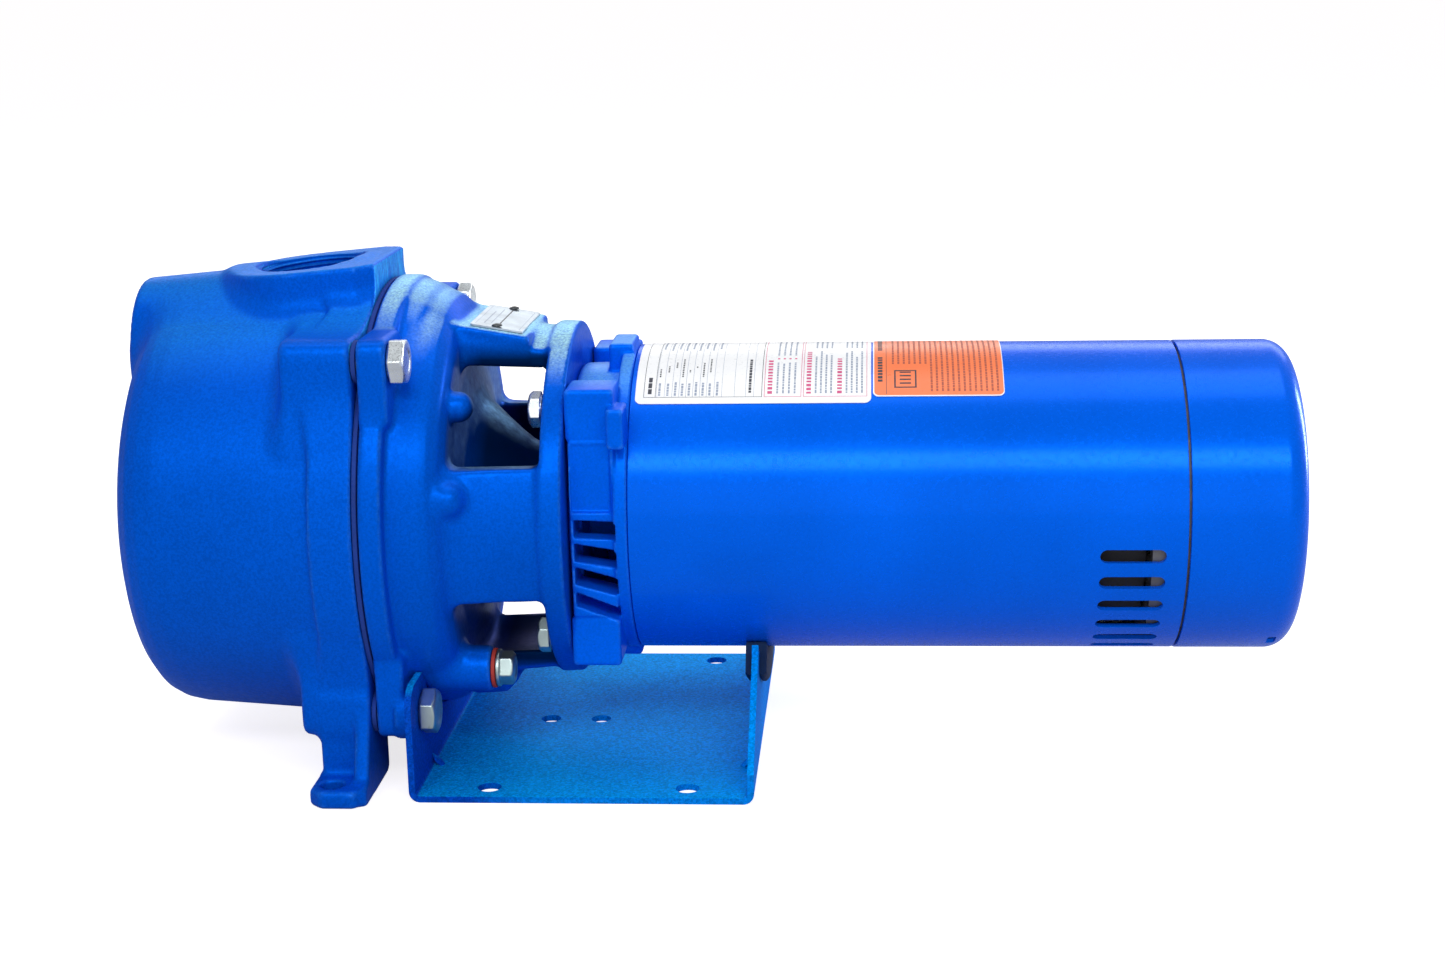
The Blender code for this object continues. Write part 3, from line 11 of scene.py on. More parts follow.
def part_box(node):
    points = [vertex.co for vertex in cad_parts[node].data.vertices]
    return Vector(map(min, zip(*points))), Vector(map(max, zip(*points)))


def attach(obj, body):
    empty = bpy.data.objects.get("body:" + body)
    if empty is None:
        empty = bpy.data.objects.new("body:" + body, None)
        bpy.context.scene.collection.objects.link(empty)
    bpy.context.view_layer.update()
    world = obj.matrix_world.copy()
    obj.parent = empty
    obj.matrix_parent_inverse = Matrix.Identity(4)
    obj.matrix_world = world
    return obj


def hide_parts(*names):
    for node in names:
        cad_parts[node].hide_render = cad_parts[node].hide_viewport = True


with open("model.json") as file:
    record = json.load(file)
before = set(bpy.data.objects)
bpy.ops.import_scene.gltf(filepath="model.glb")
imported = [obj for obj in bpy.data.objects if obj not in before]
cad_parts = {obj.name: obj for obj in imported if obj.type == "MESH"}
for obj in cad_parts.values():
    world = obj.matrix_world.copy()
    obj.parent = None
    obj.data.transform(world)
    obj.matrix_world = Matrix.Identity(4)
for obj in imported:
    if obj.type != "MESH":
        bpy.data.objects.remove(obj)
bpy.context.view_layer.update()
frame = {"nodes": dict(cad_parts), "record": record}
NODES = frame["nodes"]
SLOT_OF = {part["node"]: part["material_slot"] for part in frame["record"]["subparts"]}
MM = 0.001
AXIS = 115.6                    # shaft height over the ground, in mm
CELL = 1.6           # grid of the castings' surfaces, in mm
CASING_BOLT_YZ, ADAPTER_BOLT_YZ = 80, 52.75  # how far the bolts are from the shaft, across and up


def place(node):
    """A CAD node's box in mm, with heights over the shaft."""
    low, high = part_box(node)
    shift = np.array((0.0, 0.0, AXIS))
    return np.array(low) / MM - shift, np.array(high) / MM - shift


# ------------------------------------------------------------------ solid fields (mm)
# A field maps points (N x 3, heights over the shaft) to their distance from a surface,
# negative inside. Fields join with real fillets, and become one closed mesh.
def polygon(points, a, b):
    """Signed distance to a closed outline in the plane (a, b)."""
    pts = np.array(points, float)
    nxt = np.roll(pts, -1, axis=0)
    best = np.full(a.shape, 1e9)
    inside = np.zeros(a.shape, bool)
    for (x0, y0), (x1, y1) in zip(pts, nxt):
        dx, dy = x1 - x0, y1 - y0
        t = np.clip(((a - x0) * dx + (b - y0) * dy) / (dx * dx + dy * dy), 0, 1)
        best = np.minimum(best, (a - x0 - t * dx) ** 2 + (b - y0 - t * dy) ** 2)
        if y0 != y1:
            crosses = (y0 > b) != (y1 > b)
            inside ^= crosses & (a < (x1 - x0) * (b - y0) / (y1 - y0) + x0)
    return np.sqrt(best) * np.where(inside, -1, 1)


def soften(points, radius, steps=4, keep=()):
    """Round the corners of an outline. Corners whose index is in keep stay sharp."""
    count = len(points)
    made = []
    for i, point in enumerate(points):
        p = np.array(point, float)
        before = np.array(points[i - 1], float) - p
        after = np.array(points[(i + 1) % count], float) - p
        la, lb = np.linalg.norm(before), np.linalg.norm(after)
        cosine = np.dot(before, after) / (la * lb)
        if i in keep or abs(cosine) > 0.9995:
            made.append(tuple(p))
            continue
        half = 0.5 * np.arccos(np.clip(cosine, -1, 1))
        reach = min(radius / np.tan(half), 0.48 * la, 0.48 * lb)
        start, stop = p + before / la * reach, p + after / lb * reach
        for k in range(steps + 1):
            t = k / steps
            made.append(tuple((1 - t) ** 2 * start + 2 * t * (1 - t) * p + t ** 2 * stop))
    return made


def turned(profile, y=0.0, z=0.0, radius=0.0):
    """Solid of revolution about a line along X. The profile (x, r) may start and end on the line."""
    if profile[0][1] == 0 and profile[-1][1] == 0:
        ring = list(profile[1:-1])
        if radius:
            full = [(profile[0][0], -ring[0][1])] + ring + [(profile[-1][0], -ring[-1][1])]
            ring = soften(full, radius)
            ring = [p for p in ring if p[1] > 0]
        outline = ring + [(x, -r) for x, r in reversed(ring)]
    else:
        outline = soften(profile, radius) if radius else profile
    return lambda p: polygon(outline, p[:, 0], np.hypot(p[:, 1] - y, p[:, 2] - z))


def rod(x0, x1, r, y=0.0, z=0.0):
    return turned([(x0, 0), (x0, r), (x1, r), (x1, 0)], y, z)


def meet(a, b, radius=1.2):
    """Intersection with a rounded edge."""
    if radius <= 0:
        return np.maximum(a, b)
    u, v = np.maximum(a + radius, 0), np.maximum(b + radius, 0)
    return np.minimum(-radius, np.maximum(a, b)) + np.hypot(u, v)


def join(a, b, radius):
    """Union with a fillet."""
    u, v = np.maximum(radius - a, 0), np.maximum(radius - b, 0)
    return np.maximum(radius, np.minimum(a, b)) - np.hypot(u, v)


def slab(outline, low, high, axis="Z", edge=1.5, corner=0.0):
    """Extruded outline with rounded edges. low and high are numbers or functions of the points."""
    pick = {"X": (1, 2, 0), "Y": (0, 2, 1), "Z": (0, 1, 2)}[axis]
    if corner:
        outline = soften(outline, corner)

    def field(p):
        flat = polygon(outline, p[:, pick[0]], p[:, pick[1]])
        depth = p[:, pick[2]]
        lo = low(p) if callable(low) else low
        hi = high(p) if callable(high) else high
        return meet(flat, np.maximum(lo - depth, depth - hi), edge)
    return field


def block(xs, ys, zs, edge=1.5):
    xs, ys, zs = sorted(xs), sorted(ys), sorted(zs)
    outline = [(xs[0], ys[0]), (xs[1], ys[0]), (xs[1], ys[1]), (xs[0], ys[1])]
    return slab(outline, zs[0], zs[1], "Z", edge, edge)


def ball(x, y, z, r):
    return lambda p: np.sqrt((p[:, 0] - x) ** 2 + (p[:, 1] - y) ** 2 + (p[:, 2] - z) ** 2) - r


def build(base, *steps):
    """Fold steps onto a base field: ('+', field, fillet) joins and ('-', field, edge) cuts."""
    def field(p):
        value = base(p)
        for sign, other, radius in steps:
            if sign == "+":
                value = join(value, other(p), radius) if radius else np.minimum(value, other(p))
            else:
                value = meet(value, -other(p), radius)
        return value
    return field


def mesh_of(field, low, high, cell):
    """Closed quad mesh of a field's surface: surface nets, then each vertex moved onto the surface."""
    low, high = np.array(low, float) - 2.3 * cell, np.array(high, float) + 2.3 * cell
    size = np.ceil((high - low) / cell).astype(int) + 1
    step = 6
    coarse = [np.arange(0, size[i], step) for i in range(3)]
    centre = np.stack(np.meshgrid(*[low[i] + cell * (coarse[i] + step / 2) for i in range(3)],
                                  indexing="ij"), -1).reshape(-1, 3)
    rough = field(centre).reshape([len(c) for c in coarse])
    rough = rough.repeat(step, 0).repeat(step, 1).repeat(step, 2)[:size[0], :size[1], :size[2]]
    value = rough.astype(np.float32)
    near = np.abs(rough) < 0.87 * step * cell * 1.6 + cell
    where = np.argwhere(near)
    found = np.empty(len(where))
    for s in range(0, len(where), 400000):
        part = where[s:s + 400000]
        found[s:s + 400000] = field(low + cell * part)
    value[near] = found
    sign = value < 0
    total = np.zeros(list(size - 1) + [3], np.float32)
    count = np.zeros(size - 1, np.float32)
    quads = []
    index = np.full(size - 1, -1, int)
    for d in range(3):
        a, b = [slice(None)] * 3, [slice(None)] * 3
        a[d], b[d] = slice(0, -1), slice(1, None)
        a, b = tuple(a), tuple(b)
        hit = sign[a] != sign[b]
        t = np.where(hit, value[a] / np.where(hit, value[a] - value[b], 1), 0).astype(np.float32)
        u, v = [k for k in range(3) if k != d]
        for du in (0, 1):
            for dv in (0, 1):
                cut = [slice(None)] * 3
                cut[u] = slice(du, size[u] - 1 + du)
                cut[v] = slice(dv, size[v] - 1 + dv)
                h = hit[tuple(cut)]
                count += h
                total[..., d] += np.where(h, t[tuple(cut)], 0)
                total[..., u] += h * du
                total[..., v] += h * dv
    mixed = np.argwhere(count > 0)
    index[tuple(mixed.T)] = np.arange(len(mixed))
    points = total[tuple(mixed.T)] / count[tuple(mixed.T)][:, None] + mixed
    points = low + cell * points
    for d in range(3):
        a, b = [slice(1, -1)] * 3, [slice(1, -1)] * 3
        a[d], b[d] = slice(0, -1), slice(1, None)
        hit = sign[tuple(a)] != sign[tuple(b)]
        at = np.argwhere(hit)
        flip = sign[tuple(a)][tuple(at.T)]
        off = [1, 1, 1]
        off[d] = 0
        at = at + off
        u, v = [(1, 2), (2, 0), (0, 1)][d]
        corners = []
        for du, dv in ((-1, -1), (0, -1), (0, 0), (-1, 0)):
            c = at.copy()
            c[:, u] += du
            c[:, v] += dv
            corners.append(index[tuple(c.T)])
        quad = np.stack(corners, 1)
        quad[~flip] = quad[~flip][:, ::-1]
        quads.append(quad)
    quads = np.concatenate(quads)
    h = 0.05
    for _ in range(3):
        d0 = field(points)
        slope = np.stack([(field(points + h * e) - d0) / h for e in np.eye(3)], 1)
        length = np.maximum((slope ** 2).sum(1), 0.2)
        move = slope * (d0 / length)[:, None]
        far = np.linalg.norm(move, axis=1)
        move *= np.minimum(1, 0.5 * cell / np.maximum(far, 1e-9))[:, None]
        points = points - move
    return points, quads


def register(obj, mat, body="housing", replaces=None, slot=None):
    """Put a piece on its body. A piece that stands for a CAD node hides that node."""
    bpy.context.scene.collection.objects.link(obj)
    obj.data.materials.append(mat)
    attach(obj, body)
    if replaces:
        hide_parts(replaces)
    slot or SLOT_OF[replaces]
    return obj


def cast(name, field, low, high, mat, replaces, cell=CELL, body="housing"):
    """A field's surface as an object that stands for a CAD node."""
    points, faces = mesh_of(field, low, high, cell)
    mesh = bpy.data.meshes.new(name)
    mesh.vertices.add(len(points))
    mesh.vertices.foreach_set("co", ((points + (0, 0, AXIS)) * MM).astype(np.float32).ravel())
    mesh.loops.add(faces.size)
    mesh.loops.foreach_set("vertex_index", faces.ravel().astype(np.int32))
    mesh.polygons.add(len(faces))
    mesh.polygons.foreach_set("loop_start", np.arange(0, faces.size, 4, dtype=np.int32))
    mesh.update(calc_edges=True)
    mesh.validate()
    mesh.shade_smooth()
    return register(bpy.data.objects.new(name, mesh), mat, body, replaces)


# ------------------------------------------------------------------ direct meshes
def lathe(name, profile, mat, sides=128, y=0.0, z=0.0, **kw):
    """Turn a closed (x, r) profile, mm, about a line along X."""
    bm = bmesh.new()
    rings = []
    for x, r in profile:
        if r < 1e-6:
            rings.append([bm.verts.new((x * MM, y * MM, (z + AXIS) * MM))])
        else:
            rings.append([bm.verts.new((x * MM, (y + r * cos(2 * pi * i / sides)) * MM,
                                        (AXIS + z + r * sin(2 * pi * i / sides)) * MM)) for i in range(sides)])
    for first, second in zip(rings, rings[1:] + rings[:1]):
        if len(first) == 1 and len(second) == 1:
            continue
        for i in range(sides):
            j = (i + 1) % sides
            corners = [first[i % len(first)], first[j % len(first)], second[j % len(second)],
                       second[i % len(second)]]
            bm.faces.new(list(dict.fromkeys(corners)))
    return from_bmesh(name, bm, mat, **kw)


def from_bmesh(name, bm, mat, sharp=30.0, **kw):
    bmesh.ops.recalc_face_normals(bm, faces=bm.faces)
    mesh = bpy.data.meshes.new(name)
    bm.to_mesh(mesh)
    bm.free()
    mesh.shade_smooth()
    mesh.set_sharp_from_angle(angle=radians(sharp))
    return register(bpy.data.objects.new(name, mesh), mat, **kw)


def skin(bm, rings, around=True):
    """Faces between neighbouring rings of vertices. The rings close on themselves if around is set."""
    for first, second in zip(rings, rings[1:]):
        for k in range(len(first) if around else len(first) - 1):
            m = (k + 1) % len(first)
            bm.faces.new((first[k], first[m], second[m], second[k]))


def capped(bm, rings):
    bm.faces.new(rings[0])
    bm.faces.new(rings[-1])
    skin(bm, rings)
    return bm


def prism(outline, low, high, axis="Z"):
    """Plain extrusion, in mm, as a tool or a part mesh."""
    put = {"X": lambda a, b, c: (c, a, b + AXIS), "Y": lambda a, b, c: (a, c, b + AXIS),
           "Z": lambda a, b, c: (a, b, c + AXIS)}[axis]
    bm = bmesh.new()
    ends = [[bm.verts.new(Vector(put(a, b, level)) * MM) for a, b in outline] for level in (low, high)]
    return capped(bm, ends)


def arc(cx, cy, r, start, stop, steps):
    return [(cx + r * cos(radians(start + (stop - start) * i / steps)),
             cy + r * sin(radians(start + (stop - start) * i / steps))) for i in range(steps + 1)]


def carve(obj, tools, bevel=0.0):
    """Cut bmesh tools out of an object for good."""
    for number, bm in enumerate(tools):
        bmesh.ops.recalc_face_normals(bm, faces=bm.faces)
        mesh = bpy.data.meshes.new("tool")
        bm.to_mesh(mesh)
        bm.free()
        tool = bpy.data.objects.new("tool", mesh)
        bpy.context.scene.collection.objects.link(tool)
        step = obj.modifiers.new("cut", "BOOLEAN")
        step.operation, step.solver, step.object = "DIFFERENCE", "EXACT", tool
        apply_modifiers(obj)
        bpy.data.objects.remove(tool, do_unlink=True)
    if bevel:
        step = obj.modifiers.new("edge", "BEVEL")
        step.width, step.segments, step.limit_method, step.angle_limit = bevel * MM, 2, "ANGLE", radians(38)
        step.use_clamp_overlap = True
        apply_modifiers(obj)
    obj.data.shade_smooth()
    obj.data.set_sharp_from_angle(angle=radians(32))
    step = obj.modifiers.new("shade", "WEIGHTED_NORMAL")
    step.keep_sharp = True
    apply_modifiers(obj)
    return obj


def apply_modifiers(obj):
    graph = bpy.context.evaluated_depsgraph_get()
    graph.update()
    mesh = bpy.data.meshes.new_from_object(obj.evaluated_get(graph))
    obj.modifiers.clear()
    obj.data = mesh


# ------------------------------------------------------------------ materials
class Shader:
    """Small helper around a node tree. A value is a number, a colour or another node's output."""

    def __init__(self, name):
        self.mat = bpy.data.materials.new(name)
        self.mat.use_nodes = True
        self.tree = self.mat.node_tree
        self.main = self.tree.nodes["Principled BSDF"]
        self.where = self.add("ShaderNodeTexCoord").outputs["Object"]

    def feed(self, socket, value):
        if isinstance(value, bpy.types.NodeSocket):
            self.tree.links.new(value, socket)
        elif socket.type == "RGBA" and len(value) == 3:
            socket.default_value = (*value, 1.0)
        else:
            socket.default_value = value

    def set(self, key, value):
        self.feed(self.main.inputs[key], value)

    def add(self, kind, inputs=None, **settings):
        node = self.tree.nodes.new(kind)
        for key, value in settings.items():
            setattr(node, key, value)
        for key, value in (inputs or {}).items():
            self.feed(node.inputs[key], value)
        return node

    def noise(self, scale, detail=3.0, rough=0.5, vector=None):
        return self.add("ShaderNodeTexNoise", {"Vector": vector or self.where, "Scale": scale,
                                               "Detail": detail, "Roughness": rough}).outputs["Fac"]

    def grey(self, value, low, high, start=0.3, stop=0.7):
        """low to high while the value goes from start to stop."""
        return self.add("ShaderNodeMapRange", {"Value": value, "From Min": start, "From Max": stop,
                                               "To Min": low, "To Max": high}).outputs["Result"]

    def split(self, vector):
        return self.add("ShaderNodeSeparateXYZ", {"Vector": vector}).outputs

    def math(self, kind, *values):
        return self.add("ShaderNodeMath", dict(enumerate(values)), operation=kind).outputs[0]

    def vector(self, kind, *values, result="Vector"):
        return self.add("ShaderNodeVectorMath", dict(enumerate(values)), operation=kind).outputs[result]

    def times(self, *values):
        product = values[0]
        for value in values[1:]:
            product = self.math("MULTIPLY", product, value)
        return product

    def mix(self, fac, a, b, blend="MIX"):
        return self.add("ShaderNodeMix", {0: fac, 6: a, 7: b}, data_type="RGBA", blend_type=blend).outputs[2]

    def bump(self, *layers):
        """layers: (height socket, strength, distance in mm)."""
        normal = None
        for height, strength, distance in layers:
            inputs = {"Height": height, "Strength": strength, "Distance": distance * MM}
            if normal:
                inputs["Normal"] = normal
            normal = self.add("ShaderNodeBump", inputs).outputs["Normal"]
        self.set("Normal", normal)


CASTING_BLUE = (0.0, 0.1, 0.68)
ENAMEL_BLUE = (0.0, 0.128, 0.9)
SHEET_BLUE = (0.0, 0.24, 0.88)
PUMP_SHADOW_BLUE = (0.0, 0.06, 0.5)       # painted shadow of the pump on the base
GROUND = (0.03, 0.42, 0.92)         # the dressed face beside the discharge
# pale colour for faces that look up: partly dusty, partly a painted highlight
DUST_AND_HIGHLIGHT = (0.5, 0.86, 0.92)
WORN_AND_HIGHLIT = (0.12, 0.52, 1.0)            # paint worn thin on edges, and a painted highlight along them
PAINTED_SHADE_BLUE, PAINTED_HIGHLIGHT_PALE = (0.0, 0.014, 0.075), (0.26, 0.5, 0.74)     # painted shade and a painted highlight inside the yoke
SPECULAR_BLUE = (0.05, 0.45, 1.0)
EDGE_START, EDGE_STOP = 0.53, 0.62  # pointiness of an edge that is worn and carries a painted highlight


def yoke_painted_shade_and_highlight(s, colour, at, facing, normal):
    """Painted shade, deep blue, on the walls and the hub inside the yoke, with a pale painted highlight on what
    faces up and to the motor.
    """
    across = s.vector("MULTIPLY", s.vector("SUBTRACT", s.where, (0.0, 0.0, AXIS * MM)), (0.0, 1.0, 1.0))
    radius = s.vector("LENGTH", across, result="Value")
    outward = s.vector("DOT_PRODUCT", s.vector("NORMALIZE", across), normal, result="Value")
    walls = s.times(s.grey(radius, 1.0, 0.0, 0.078, 0.086), s.grey(outward, 1.0, 0.0, 0.5, 0.8))
    core = s.grey(radius, 1.0, 0.0, 0.066, 0.074)
    # where the painted shade goes
    inside = s.times(s.math("MAXIMUM", walls, core), s.grey(at["X"], 1.0, 0.0, -0.0195, -0.0185),
                     s.grey(at["X"], 0.5, 1.0, -0.061, -0.05))
    # where the painted highlight goes: faces lit from above and from the motor side
    lit = s.math("ADD", facing["X"], facing["Z"])
    painted_highlight = s.times(s.grey(lit, 0.0, 1.0, 0.75, 1.2), s.grey(at["Z"], 0.0, 1.0, 0.128, 0.152),
                   s.grey(facing["Y"], 0.0, 1.0, -0.34, -0.06), s.grey(s.noise(220.0, 4.0, 0.65), 0.3, 1.0))
    return s.mix(inside, colour, s.mix(painted_highlight, PAINTED_SHADE_BLUE, PAINTED_HIGHLIGHT_PALE))


def paint(name, blue, grain, rough, gloss, speckle, metallic, coat=0.0, dust_and_highlight=0.0, dust_and_highlight_colour=DUST_AND_HIGHLIGHT,
          span=(0.036, 0.062), tilt=(0.68, 0.97), above=0.165, edge_wear_and_highlight=0.35, painted_yoke_shade=False, ground=False,
          painted_pump_shadow=False):
    """Blue paint over metal. grain is the height in mm of its texture, speckle its fine mottling.

    Faces that look up by tilt, within span of the middle plane and above a height, get a lighter colour:
    partly dusty, partly a painted highlight. Edges get a lighter blue, partly worn paint and partly a
    painted highlight. The yoke's inside gets painted shade and a painted highlight, ground adds the dressed
    face beside the discharge, and the base gets a painted shadow, darker towards the pump.
    """
    s = Shader(name)
    fine = s.noise(420.0, 4.0, 0.6)
    shape = s.add("ShaderNodeNewGeometry").outputs
    facing, at = s.split(shape["Normal"]), s.split(s.where)
    colour = s.mix(s.grey(s.noise(14.0, 2.0), 0.0, 1.0), tuple(0.84 * c for c in blue), blue)
    if painted_pump_shadow:
        # painted shadow of the pump: the base is darker towards it
        colour = s.mix(s.grey(at["X"], 1.0, 0.0, -0.052, -0.024), colour, PUMP_SHADOW_BLUE)
    if ground:
        comb = s.vector("MULTIPLY", s.where, (1.0, 1.0, 0.12))
        face = s.times(s.grey(facing["X"], 0.0, 1.0, 0.8, 0.95), s.grey(at["Z"], 0.0, 1.0, 0.185, 0.2),
                       s.grey(s.noise(620.0, 3.0, 0.7, comb), 0.15, 0.9, 0.4, 0.62))
        colour = s.mix(face, colour, GROUND)
    # faces that look up get lighter: partly dusty, partly a painted highlight
    if dust_and_highlight:
        cover = s.times(s.grey(facing["Z"], 0.0, dust_and_highlight, *tilt),
                        s.grey(s.math("ABSOLUTE", at["Y"]), 1.0, 0.0, *span),
                        s.grey(at["Z"], 0.0, 1.0, above, above + 0.01),
                        s.grey(s.noise(900.0, 5.0, 0.7), 0.4, 1.0, 0.36, 0.6))
        colour = s.mix(cover, colour, dust_and_highlight_colour)
    # edges turn a lighter blue: worn paint and a painted highlight
    if edge_wear_and_highlight:
        edge = s.times(s.grey(shape["Pointiness"], 0.0, edge_wear_and_highlight, EDGE_START, EDGE_STOP),
                       s.grey(s.noise(500.0, 4.0, 0.7), 0.2, 1.0, 0.4, 0.6))
        colour = s.mix(edge, colour, WORN_AND_HIGHLIT)
    mottle = s.mix(s.grey(s.noise(800.0, 3.0, 0.7), 0.0, 1.0, 0.38, 0.62),
                   (1 - speckle,) * 3, (1 + 0.5 * speckle,) * 3)
    colour = s.mix(1.0, colour, mottle, "MULTIPLY")
    # painted shade and a painted highlight inside the yoke
    if painted_yoke_shade:
        colour = yoke_painted_shade_and_highlight(s, colour, at, facing, shape["Normal"])
    s.set("Base Color", colour)
    s.set("Roughness", s.grey(fine, rough - 0.05, rough + 0.07))
    for key, value in (("Metallic", metallic), ("Coat Weight", coat), ("Coat Roughness", 0.12), ("IOR", 1.5),
                       ("Specular IOR Level", gloss), ("Specular Tint", SPECULAR_BLUE)):
        s.set(key, value)
    s.bump((s.noise(55.0, 2.0), 0.35, 0.8 * grain), (s.noise(240.0, 3.0, 0.55), 0.4, grain),
           (fine, 0.25, 0.25 * grain))
    return s.mat


def metal(name, colour, rough, stain=None):
    """Bare or plated metal, with spots of stain where one is given."""
    s = Shader(name)
    broad, fine = s.noise(90.0, 3.0), s.noise(1500.0, 3.0)
    tone = s.mix(s.grey(broad, 0.0, 1.0), tuple(c * 0.72 for c in colour), colour)
    if stain:
        tone = s.mix(s.grey(s.noise(160.0, 4.0, 0.7), 0.0, 0.8, 0.58, 0.74), tone, stain)
    s.set("Base Color", tone)
    s.set("Metallic", 1.0)
    s.set("Roughness", s.grey(fine, rough - 0.06, rough + 0.1))
    s.bump((fine, 0.25, 0.03), (broad, 0.3, 0.05))
    return s.mat


def plain(name, colour, rough, grain=0.02, scale=900.0, spread=0.75, metallic=0.0, gloss=0.5):
    """One colour that varies down to spread of itself, over a texture grain mm high."""
    s = Shader(name)
    fine = s.noise(scale, 4.0, 0.6)
    broad = s.grey(s.noise(scale / 12, 3.0), 0.0, 1.0)
    s.set("Base Color", s.mix(broad, tuple(c * spread for c in colour), colour))
    s.set("Metallic", metallic)
    s.set("Specular IOR Level", gloss)
    s.set("Roughness", s.grey(fine, max(0.02, rough - 0.08), min(1.0, rough + 0.08)))
    s.bump((fine, 0.4, grain))
    return s.mat


def layered(name, colour, gap, pitch, rough, metallic):
    """Stacked sheets or wound wire: fine bands across X."""
    s = Shader(name)
    wave = s.add("ShaderNodeTexWave", {"Vector": s.where, "Scale": 0.159 / (pitch * MM) * 2,
                                       "Distortion": 0.6, "Detail": 1.0},
                 wave_type="BANDS", bands_direction="X").outputs["Fac"]
    s.set("Base Color", s.mix(wave, gap, colour))
    s.set("Metallic", metallic)
    s.set("Roughness", s.grey(s.noise(700.0), rough - 0.05, rough + 0.1))
    s.bump((wave, 0.6, 0.15))
    return s.mat


# The lighter colours that castings, base and bell take on faces that look up are partly dusty and partly a
# painted highlight.
CAST = paint("blue_casting", CASTING_BLUE, 0.2, 0.42, gloss=0.1, speckle=0.16, metallic=0.28, dust_and_highlight=0.4,
             dust_and_highlight_colour=(0.02, 0.4, 0.88), span=(0.05, 0.09), ground=True)
# the yoke takes painted shade inside, with a painted highlight on faces lit from above
YOKE = paint("blue_yoke", CASTING_BLUE, 0.16, 0.36, gloss=0.07, speckle=0.14, metallic=0.3, dust_and_highlight=1.0,
             tilt=(0.76, 0.98), painted_yoke_shade=True)
ENAMEL = paint("blue_enamel", ENAMEL_BLUE, 0.03, 0.24, gloss=0.16, speckle=0.06, metallic=0.22,
               coat=0.03, edge_wear_and_highlight=0.0)
# the base carries a painted shadow of the pump
SHEET = paint("blue_sheet", SHEET_BLUE, 0.08, 0.5, gloss=0.02, speckle=0.34, metallic=0.1, dust_and_highlight=0.64,
              dust_and_highlight_colour=(0.0, 0.5, 1.0), span=(0.3, 0.4), above=-1.0, edge_wear_and_highlight=0.1, painted_pump_shadow=True)
BELL = paint("blue_bell", ENAMEL_BLUE, 0.06, 0.32, gloss=0.12, speckle=0.1, metallic=0.22, dust_and_highlight=0.5,
             dust_and_highlight_colour=(0.25, 0.72, 0.95))
ZINC = metal("zinc", (0.84, 0.91, 0.95), 0.3, stain=(0.45, 0.5, 0.5))
DULL_ZINC = metal("zinc_dull", (0.5, 0.62, 0.62), 0.36, stain=(0.2, 0.28, 0.28))
STEEL = metal("steel", (0.55, 0.55, 0.56), 0.28)
BRASS = metal("brass", (0.78, 0.55, 0.22), 0.3)
IRON = plain("grey_iron", (0.16, 0.16, 0.17), 0.55, 0.1, 500.0, metallic=0.6)
RUBBER = plain("black_rubber", (0.002, 0.02, 0.075), 0.62, 0.05, 700.0, gloss=0.12)
FIBRE = plain("red_fibre", (0.42, 0.03, 0.02), 0.7, 0.04, 1200.0)
PAPER = plain("gasket_sheet", (0.0, 0.034, 0.27), 0.85, 0.04, 900.0)
PLASTIC = plain("black_plastic", (0.02, 0.02, 0.024), 0.45, 0.02, 1100.0)
CERAMIC = plain("ceramic", (0.8, 0.78, 0.72), 0.25, 0.01, 900.0, 0.9)
CARBON = plain("carbon", (0.03, 0.03, 0.032), 0.4, 0.02, 900.0)
CORE = layered("core_sheets", (0.32, 0.32, 0.34), (0.08, 0.08, 0.08), 0.6, 0.45, 0.8)
WINDING = layered("magnet_wire", (0.5, 0.17, 0.05), (0.12, 0.035, 0.01), 1.2, 0.35, 0.5)
FILM = plain("label_film", (0.86, 0.88, 0.9), 0.32, 0.01, 500.0, 0.95)
ORANGE = plain("orange_film", (0.93, 0.2, 0.06), 0.34, 0.01, 500.0, 0.93)
INK = plain("black_ink", (0.035, 0.04, 0.06), 0.5, 0.005, 900.0, 0.8)
GREY_INK = plain("grey_ink", (0.3, 0.36, 0.48), 0.5, 0.005, 900.0, 0.85)
RED_INK = plain("red_ink", (0.66, 0.08, 0.24), 0.5, 0.005, 900.0, 0.85)
BROWN_INK = plain("brown_ink", (0.42, 0.09, 0.05), 0.5, 0.005, 900.0, 0.85)
PLATE = metal("satin_plate", (0.6, 0.68, 0.76), 0.38)
PAINTED_PIN = metal("pin_steel", (0.1, 0.11, 0.12), 0.4)

MATERIAL_OF_SLOT = {
    "cast_paint": CAST, "motor_paint": ENAMEL, "sheet_paint": SHEET, "zinc_steel": ZINC, "plain_steel": STEEL,
    "rubber": RUBBER, "red_fibre": FIBRE, "gasket_paper": PAPER, "moulded_plastic": PLASTIC, "cast_iron": IRON,
    "brass": BRASS, "ceramic": CERAMIC, "carbon": CARBON, "lamination": CORE, "copper": WINDING,
    "white_label": FILM, "orange_label": ORANGE, "name_plate": PLATE,
}
# The rear end bell takes dark grey iron in place of its plain steel slot, so it reads dark through the vent
# slots: painted shade.
for name, slot in SLOT_OF.items():
    NODES[name].data.materials.clear()
    NODES[name].data.materials.append(IRON if name == "rear_end_bell" else MATERIAL_OF_SLOT[slot])


# ------------------------------------------------------------------ pump casing
SLOPE = tan(radians(4.9))
PORT_X, PORT_Z = -134.2, 112.8
SUCTION_Z = 75.0
FACE = -97.0


def tilted(field_x):
    """Turn a field that runs along X upright onto the sloping discharge face, X pointing up."""
    c, s = cos(atan(SLOPE)), sin(atan(SLOPE))

    def field(p):
        dx, dz = p[:, 0] - PORT_X, p[:, 2] - PORT_Z
        along, up = dx * c + dz * s, -dx * s + dz * c
        return field_x(np.stack([up, p[:, 1], -along], 1))
    return field


